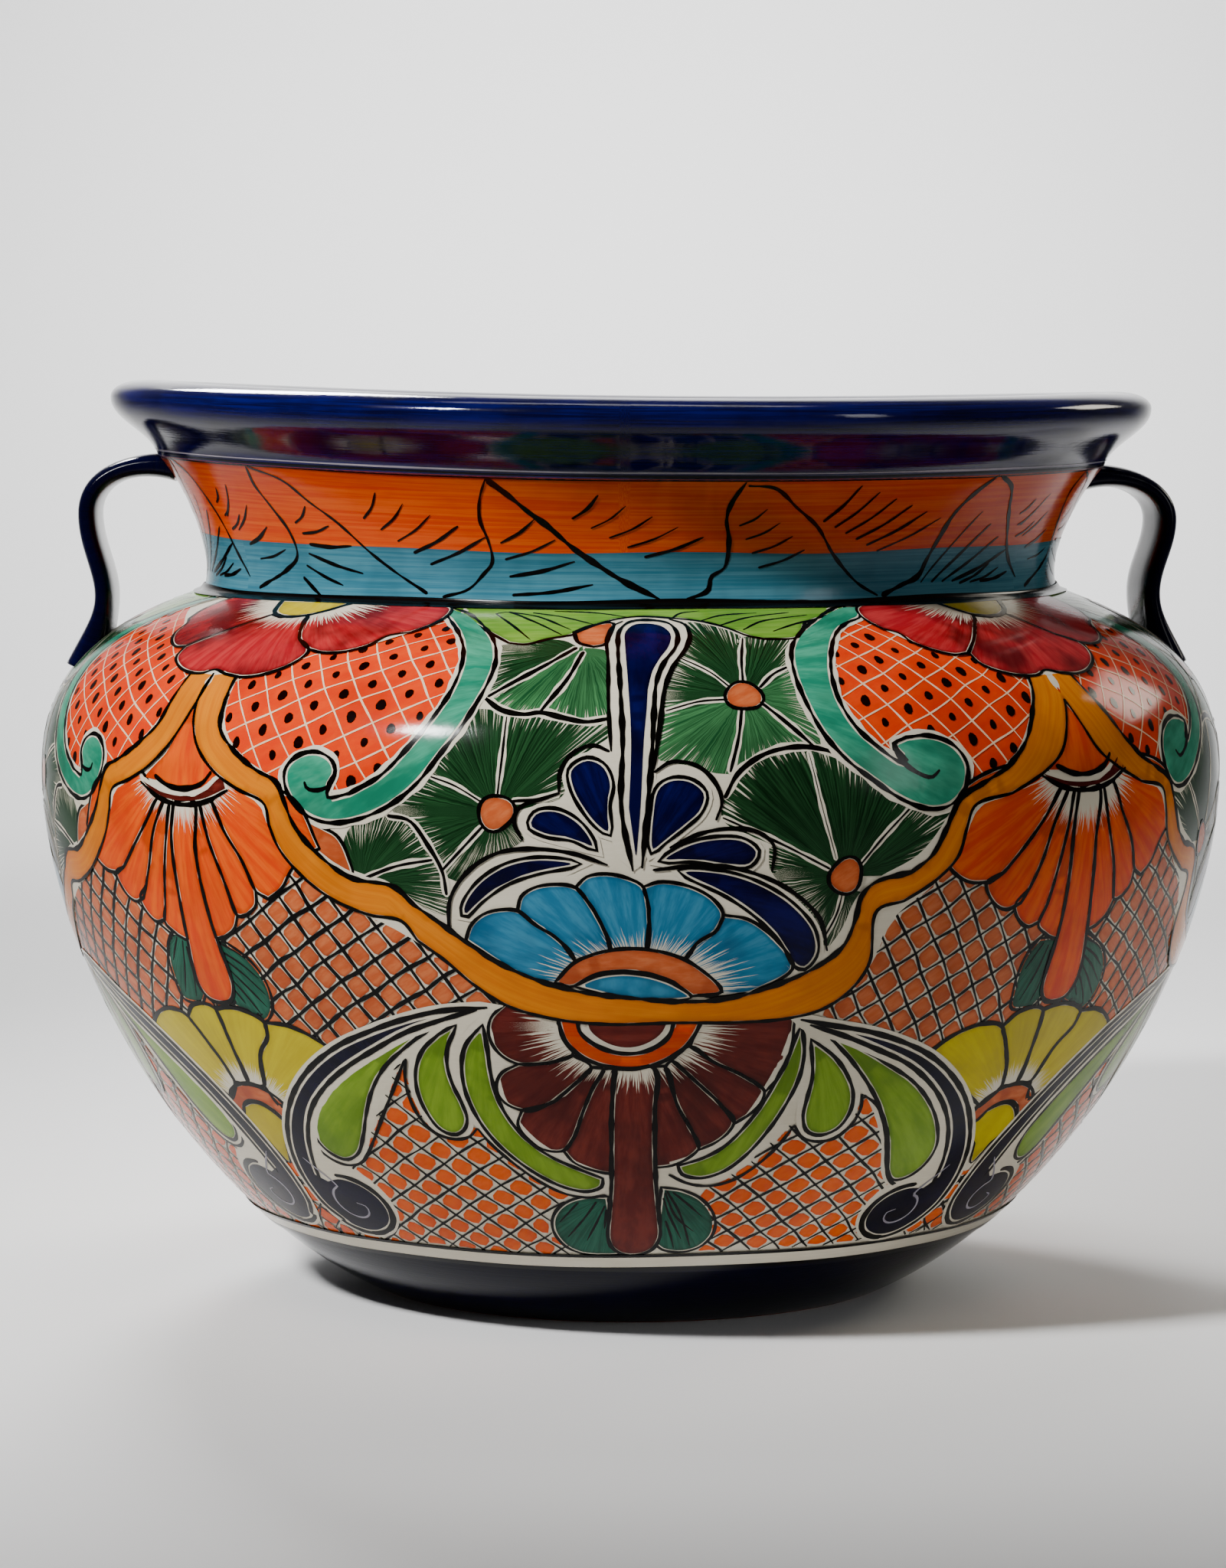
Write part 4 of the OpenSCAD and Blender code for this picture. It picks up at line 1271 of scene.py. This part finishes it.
def petal_fan(by):
    """The golden wedge, the dark red smile and the long orange petals that hang under the peak."""
    def up(points):
        """Points raised by so much round the fan's root, and not at all at the tip of its tongue."""
        return [(a, s + by * min(max((s - 166) / 70, 0), 1)) for a, s in points]

    wedge = joined(
        [(0, 275)], [(-0.9, 263), (-2, 254), (-4, 247.5), (-5, 244)],
        [(-2.6, 243), (0, 240.6), (2.4, 241), (5, 246)], [(3.4, 253), (1, 263)])
    fill("orange_petals", np.array(up(wedge)), 6, 0.2, rays((0, 400), 60, -PAST_FEATHER), 0.8)
    smile = joined(
        up([(-5.6, 243.5), (-3.4, 240.6), (0, 239), (3, 240), (5.6, 246.5)]),
        up([(6.3, 242), (3.4, 237.8), (0.2, 236.4), (-2.4, 237.4), (-5.2, 241.6)]))
    fill("cream_halos", smile, 7.2, -0.6)
    fill("garnet_flower", smile, 8, 0.5, strokes_at(0), 0.6)
    line(
        "ink_bold", up([(-3.4, 244.6), (-1.4, 241.7), (1, 241.2), (3.2, 243.6), (4.2, 247.4)]), 2.0, 8.8,
        taper=(0.8, 0.6))
    line("ink_bold", up([(-5.6, 242), (-2.7, 237.2), (0.2, 235.6), (3.4, 237), (6.4, 241.8)]), 1.8, 8.8)
    sides = [up(side) for side in (
        [(-6, 246), (-14, 240), (-16.5, 224)], [(-3, 237), (-5, 228), (-7.6, 218), (-9.6, 211)],
        [(-2, 236.4), (-3.8, 226), (-5, 214), (-6.2, 205)], [(-1.2, 236), (-2, 224), (-2.9, 210), (-3.6, 199)],
        [(-0.6, 236), (-1.2, 224), (-1.2, 205), (-1.2, 187)])]
    tips = (
        [(-11, 208.2), (-13.4, 208.8), (-15.6, 214)], [(-7, 200.5), (-8.6, 198.6), (-10.2, 201), (-11.4, 208)],
        [(-4.2, 193.4), (-5.6, 192), (-7, 195), (-7.7, 200)], [(-2.6, 188), (-4.3, 192.4)])
    petals = [joined(sides[i + 1], up(tip), sides[i][::-1]) for i, tip in enumerate(tips)]
    sides = [up(side) for side in (
        [(2.2, 236), (2, 222), (2.2, 206), (2.8, 189)], [(2.8, 236.6), (3.8, 224), (5.2, 211), (6.3, 198)],
        [(4.4, 237.4), (5.8, 228), (7.8, 217.6), (9, 207.6)], [(6.6, 246), (14, 240), (16.5, 224)])]
    tips = (
        [(4.2, 189.6), (5.6, 193), (6.3, 198)], [(7.6, 198.6), (8.8, 202.4), (9, 207.6)],
        [(10.4, 205), (12, 208.8), (13.6, 217)])
    petals += [joined(sides[i], up(tip), sides[i + 1][::-1]) for i, tip in enumerate(tips)]
    half_flower("orange_petals", petals, (0.4, 252), (19, 16), 6, 3.9, 1.3)
    tongue = joined(up([(-0.6, 237), (-1.2, 224), (-1.2, 205), (-1.3, 188), (-1.6, 176), (-1.5, 169), (-0.6, 164.8),
                        (1, 163.6), (2.6, 165), (3.5, 169.6), (3.6, 176), (3, 188), (2.4, 203), (2, 220),
                        (2.2, 237)]))
    outlined("orange_petals", tongue, (5.9, 6.5, 7.2), 1.0, rays((0.4, 252), 34, 6, (19, 16)), 0.4, 1.7)
    left = joined(
        [(-3.6, 189), (-4.8, 184), (-5.4, 177), (-5.4, 169), (-5, 163)], [(-2, 162)], [(-1, 166), (-0.8, 188)])
    right = joined(
        [(2.6, 190), (4.6, 186.6), (6.6, 182), (7.9, 175.6), (8.3, 168.6), (7.8, 162), (6.4, 158)],
        [(4.6, 161.8), (2.4, 164)], [(2.8, 176)])
    for outline, root in ((left, (-1.4, 192)), (right, (2.4, 193))):
        cell("fan_leaves", outline, 2, 1.2, 0.4, mark=rays(root, 40, -PAST_FEATHER))
    veins = [
        [(-2.2, 186), (-3, 176), (-4.2, 166)], [(-1.8, 184), (-2, 172), (-2.6, 165)], [(-3, 187), (-4.6, 178)],
        [(3.2, 187), (5.2, 184.2), (6.4, 181.5)], [(3.2, 184), (5.4, 180), (7.3, 175)],
        [(3.4, 181), (5.6, 175.6), (7.6, 169)], [(3.6, 177.5), (5.4, 171.5), (7.4, 164)],
        [(3.8, 173), (5.2, 167), (6.4, 160.5)], [(3.7, 169), (4.6, 164.5)]]
    for points in veins:
        line("ink", points, 0.85, 4.2, taper=(0.8, 0.25))


def low_flower():
    """The yellow half-flower wedged between two dark blue bands."""
    petals = between(
        [[(-14, 148), (-11.8, 154), (-9, 157.6), (-6.5, 157.6), (-5.4, 155.8)],
         [(-5.4, 155.8), (-4, 160.6), (-2, 162.4), (-0.2, 160.8)],
         [(-0.2, 160.8), (2, 162.2), (4.8, 160.8), (6.4, 157.8)],
         [(6.4, 157.8), (9.4, 157.4), (12.2, 153.6), (14, 148)]],
        [[(-9, 134), (-4, 122)], [(-3.8, 147), (-2.5, 138), (-2, 130)], [(0.2, 150), (0.3, 130.5)],
         [(6.2, 152), (4.2, 144), (2.8, 130.4)], [(9, 134), (4, 122)]])
    half_flower("yellow_flowers", petals, (0.2, 119), (13, 12), 6, 3.4, 1.7)
    ring = joined(
        [(-5, 118), (-3.6, 125.4), (-1.6, 129.2), (0.4, 130.2), (2.4, 128.8), (4.2, 125), (5.2, 118)],
        [(3.6, 115)], [(2.6, 119.4), (1.2, 121.8), (-0.4, 122.4), (-2.2, 120.6), (-3.6, 115)])
    cell("terracotta", ring, 4.2, 1.7, 0.1, dome=0.3)
    wedge = joined(
        [(-4.4, 112)], [(-2.6, 119.2), (-0.6, 121.6), (1.4, 120.6), (3.6, 112)], [(1.4, 103), (0, 94)],
        [(-1.6, 104)])
    cell("yellow_flowers", wedge, 3.6, 1.0, 0.2, mark=rays((0, 400), 60, -PAST_FEATHER))
    fill("orange_checks", disc((0, 66.5), 4.6, 0.9), 2)


where = PEAKS
peak_flower()
for turn, by in ((-45, 0), (45, 5), (135, 0), (225, 5)):
    where = [(turn, 1)]
    petal_fan(by)
where = PEAKS
low_flower()


# ---------------------------------------------------------------- the neck's bands and brush lines
where = NECK


def neck_band(piece, low, high, level, wave):
    """A level band round the neck, with slightly uneven edges."""
    turn = np.arange(-60, 60.1, 1.5)
    rows = [low + wave * np.sin(np.radians(turn * 6)) + wave * 0.5 * np.sin(np.radians(turn * 15)),
            high + wave * np.sin(np.radians(turn * 9 + 40)) + wave * 0.5 * np.sin(np.radians(turn * 12))]
    steps = max(1, int(round((high - low) / 3)))
    n = len(turn)
    a = np.tile(turn, steps + 1)
    s = np.concatenate([rows[0] + (rows[1] - rows[0]) * k / steps for k in range(steps + 1)])
    faces = [(k * n + i, k * n + i + 1, (k + 1) * n + i + 1, (k + 1) * n + i)
             for k in range(steps) for i in range(n - 1)]
    edge = np.concatenate([np.full(n, min(k, steps - k) * 3.0) for k in range(steps + 1)])
    brush = np.stack([np.radians(a) * 165 + PAST_FEATHER, s, edge], -1)
    lay(piece, a, s, level, faces, brush)


neck_band("turquoise_band", S_NECK + 0.5, 354.5, 1, 0.4)
neck_band("ink_bold", 331.4, 336.6, 13.5, 0.4)
neck_band("ink_bold", 385.2, 387.6, 2, 0.15)
neck_band("grey_spirals", 388.3, 388.9, 2, 0.1)

zigzags = [
    ([(-16, 384), (-14, 378), (-12, 371.5), (-10, 366), (-7, 356.5), (-4, 349.5), (-1, 343.6), (3.6, 337)],
     2.1, (1, 0.4)),
    ([(-16.3, 385), (-17.6, 376), (-18.1, 367), (-17.5, 359), (-17.3, 350), (-18.6, 345.4), (-20.6, 340),
      (-24, 337.2)], 1.1, (0.3, 0.8)),
    ([(12.9, 385), (11.6, 376), (11.3, 369), (11.9, 360), (11.6, 348.6), (10, 345), (9.6, 340), (7, 337)],
     1.5, (0.5, 0.7)),
    ([(13.3, 383.5), (16.4, 382.4), (19.6, 374), (22.8, 365.6), (26, 352.5), (29.6, 342), (32.6, 337.3)],
     1.2, (0.8, 0.4)),
    ([(47, 386), (44.4, 378), (42.6, 370), (41.5, 359), (40.3, 350), (39.3, 344), (36.4, 340.6), (33.5, 337.4)],
     1.9, (0.4, 0.9)),
    ([(47.6, 385.5), (51, 380), (53, 371), (54.8, 362.6), (57.4, 350), (60.5, 341.5)], 1.5, (0.9, 0.5)),
    ([(-50.4, 385), (-51, 377), (-49.6, 368), (-47.8, 359), (-47.4, 350), (-50, 344.8), (-56.6, 338)],
     1.4, (0.4, 0.8)),
    ([(-50, 385), (-45, 380), (-42, 371.6), (-38.6, 364), (-34.4, 352.6), (-30.6, 345), (-26.4, 338.4)],
     1.1, (0.7, 0.9))]
for points, width, taper in zigzags:
    line("ink", points, width, 3, taper=taper, rough=0.25)

# Groups of short hatch strokes: (first start, first end, step of start, step of end, how many).
hatches = [
    ((-6.8, 369), (-3.7, 379), (2.15, -4.0), (3.1, -4.4), 5),
    ((23.5, 368), (27, 383), (1.7, -2.7), (2.7, -3), 6),
    ((-15.9, 358), (-11.3, 368.5), (0.4, -6.6), (2.2, -8.8), 4),
    ((13, 366.5), (16, 373.5), (1.0, -6), (1.9, -6), 4),
    ((39.8, 341.5), (47.7, 370), (1.9, 0), (2.9, -5.8), 4),
    ((47, 340.6), (53, 347.4), (2.2, 0.2), (2.4, -1.8), 3),
    ((-34, 366), (-31, 377), (2.1, -4.3), (3.3, -4.2), 5),
    ((-62, 363), (-58, 376), (2, -5), (2.8, -8), 4),
    ((-46, 362.5), (-43, 369.5), (0.8, -4), (2.9, -7.4), 3),
    ((-45, 351), (-36, 344.6), (-0.8, -4.4), (-3.4, -4.4), 3),
    ((56.4, 368), (58.6, 374), (0.8, -5), (1.6, -5), 3),
]
for start, end, step_start, step_end, count in hatches:
    for i in range(count):
        a = (start[0] + step_start[0] * i, start[1] + step_start[1] * i)
        b = (end[0] + step_end[0] * i, end[1] + step_end[1] * i)
        middle = ((a[0] + b[0]) / 2 + 0.25, (a[1] + b[1]) / 2 - 0.7)
        line("ink", [a, middle, b], random.uniform(0.8, 1.5), 3, taper=(0.7, 0.35))

# ---------------------------------------------------------------- the paints, and one piece for each
INK = glaze("ink_paint", "0b0908", "17120f", "050404", streak=0.5, mottle=0.2, relief=0.15, rough=0.12)
CREAM_PAINT = glaze("cream_paint", CREAM, "e4dece", "c4bba6", streak=0.4, mottle=0.2, relief=0.1, pool=0.0)
pieces = {
    "cream_halos": CREAM_PAINT,
    "ink": INK,
    "ink_bold": INK,
    "ink_dots": glaze("dot_paint", "1e0606", "2e0a08", "0a0303", pool=0.2, rough=0.08),
    "golden_garland": glaze("golden_paint", "d07c00", "e09404", "a85e00", (0.7, 0.02), 0.6),
    "teal_scrolls": glaze("teal_paint", "2f8a70", "5cb597", "176048", (0.35, 0.03), 0.7, mottle=0.5, pool=0.0),
    "orange_net": glaze("net_paint", "da4200", "e65a10", "bc3000", (0.2, 0.1), 0.6, mottle=0.6, pool=0.0),
    "cream_net_lines": glaze("net_line_paint", "ecc9a4", "f2dcc2", "d9a070", pool=0.1, mottle=0.2),
    "light_green": glaze("light_green_paint", "6f9a3c", "93b45a", "4a7826", (0.6, 0.04), 0.6, mottle=0.4),
    "lily_leaves": glaze("lily_paint", "12301a", "3a6842", "08180b", (1.4, 0.03), 0.65, 9.0, mottle=0.35, pool=0.0),
    "skirt_leaf": glaze("skirt_paint", "265836", "5c9464", "10341d", (1.4, 0.03), 0.8, 7.0, mottle=0.4, pool=0.0),
    "terracotta": glaze("terracotta_paint", "c4693c", "d68a5c", "9c4724", (0.4, 0.1), 0.6, mottle=0.5),
    "cobalt_paint": glaze("cobalt_petal_paint", "0d0a3a", "1c1868", "06051c", (0.3, 0.03), 0.6, mottle=0.5),
    "blue_flower": glaze("blue_paint", "2f7c9c", "5a9db6", "1a5274", (0.35, 0.04), 0.6, 10.0, mottle=0.6),
    "garnet_flower": glaze("garnet_paint", "6a2620", "8a4034", "3d0f0e", (0.4, 0.04), 0.6, 9.0, mottle=0.6),
    "orange_petals": glaze("petal_paint", "d64a00", "e87400", "a23600", (0.5, 0.03), 0.75, 8.0, mottle=0.35),
    "fan_leaves": glaze("fan_leaf_paint", "1d5a48", "3f806a", "0c3428", (0.5, 0.03), 0.6, mottle=0.4),
    "cobalt_bands": glaze("cobalt_band_paint", "0f0d26", "1c1a44", "080810", (0.4, 0.03), 0.5, mottle=0.5, pool=0.0),
    "grey_spirals": glaze("grey_paint", "9a96a0", "b4b0b8", "6c6874", pool=0.0),
    "lime_leaves": glaze("lime_paint", "7a9a24", "97b440", "557414", (0.4, 0.03), 0.6, mottle=0.45),
    "orange_checks": glaze("check_paint", "dc620f", "e87e28", "c04a0c", (0.4, 0.2), 0.5, mottle=0.4, pool=0.3),
    "crimson_flowers": glaze("crimson_paint", "a82430", "c4504e", "4e0c14", (0.5, 0.03), 0.6, 9.0, mottle=0.85),
    "yellow_flowers": glaze("yellow_paint", "bfae00", "cfc010", "8c7e00", (0.4, 0.03), 0.6, 6.0, mottle=0.3,
                            pool=0.3),
    "turquoise_band": glaze("turquoise_paint", "40788a", "6295a2", "2c5e6c", (0.8, 0.012), 0.7, mottle=0.4),
}
for name, material in pieces.items():
    store = paint[name]
    build("paint_" + name, np.vstack(store["co"]), store["faces"],
          [material], np.vstack(store["brush"]),
          np.vstack(store["normal"]))


# ---------------------------------------------------------------- floor, light and camera
def studio():
    """A pale floor that curves up into a pale wall."""
    width, front, depth, height, bend = 5.0, -3.2, 2.6, 3.5, 0.8
    section = [(front, 0.0), (depth - bend, 0.0)]
    section += [(depth - bend + bend * math.sin(a), bend - bend * math.cos(a))
                for a in np.linspace(0.1, math.pi / 2, 16)]
    section += [(depth, height)]
    co = [(x, y, z) for y, z in section for x in (-width, width)]
    faces = [(2 * i, 2 * i + 1, 2 * i + 3, 2 * i + 2) for i in range(len(section) - 1)]
    mesh = bpy.data.meshes.new("studio_floor")
    mesh.from_pydata(co, [], faces)
    mesh.polygons.foreach_set("use_smooth", [True] * len(faces))
    obj = bpy.data.objects.new("studio_floor", mesh)
    bpy.context.scene.collection.objects.link(obj)
    n = Nodes("studio_white")
    n.put(n.shader.inputs["Base Color"], (0.9, 0.9, 0.9, 1))
    n.put(n.shader.inputs["Roughness"], 0.7)
    mesh.materials.append(n.material)


def area_light(name, place, aim, size, power, spread, colour=(1, 1, 1)):
    """A soft lamp. size is in metres, power in watts and spread in degrees."""
    light = bpy.data.lights.new(name, "AREA")
    light.shape = "RECTANGLE"
    light.size, light.size_y = size
    light.energy = power
    light.spread = math.radians(spread)
    light.color = colour
    obj = bpy.data.objects.new(name, light)
    obj.location = place
    obj.rotation_euler = (Vector(aim) - Vector(place)).to_track_quat("-Z", "Y").to_euler()
    bpy.context.scene.collection.objects.link(obj)


def camera():
    """Looks down a little at the front panel, from a standing viewer's side of the table."""
    cam = bpy.data.cameras.new("camera")
    cam.lens = 108.6
    cam.sensor_width = 36
    obj = bpy.data.objects.new("camera", cam)
    obj.location = (0, -1.770, 0.3345)
    obj.rotation_euler = (math.radians(90 - 4.82), 0, math.radians(0.213))
    bpy.context.scene.collection.objects.link(obj)
    bpy.context.scene.camera = obj


def sky():
    """Dim air all round, so that the glaze has dark things to reflect."""
    world = bpy.data.worlds.new("studio_air")
    world.use_nodes = True
    world.node_tree.nodes["Background"].inputs[0].default_value = (1, 1, 1, 1)
    world.node_tree.nodes["Background"].inputs[1].default_value = 0.07
    bpy.context.scene.world = world


studio()
sky()
area_light("key", (-1.05, -1.1, 1.4), (0, 0, 0.28), (0.26, 0.18), 4.2, 40)
area_light("top", (0, 1.0, 2.0), (0, 1.0, 0), (1.0, 1.2), 8, 60)
area_light("fill", (1.5, -1.3, 0.7), (0, 0, 0.24), (0.3, 0.8), 0.35, 45)
area_light("back", (-0.5, 1.5, 1.3), (0, 0, 0.25), (0.5, 0.35), 3.0, 50)
area_light("side", (1.5, 1.0, 1.0), (0, 0, 0.25), (0.7, 0.5), 0.9, 50, (1, 0.94, 0.8))
area_light("wall", (0, 1.3, 2.4), (0, 2.6, 0.6), (1.0, 0.5), 26, 75)
camera()
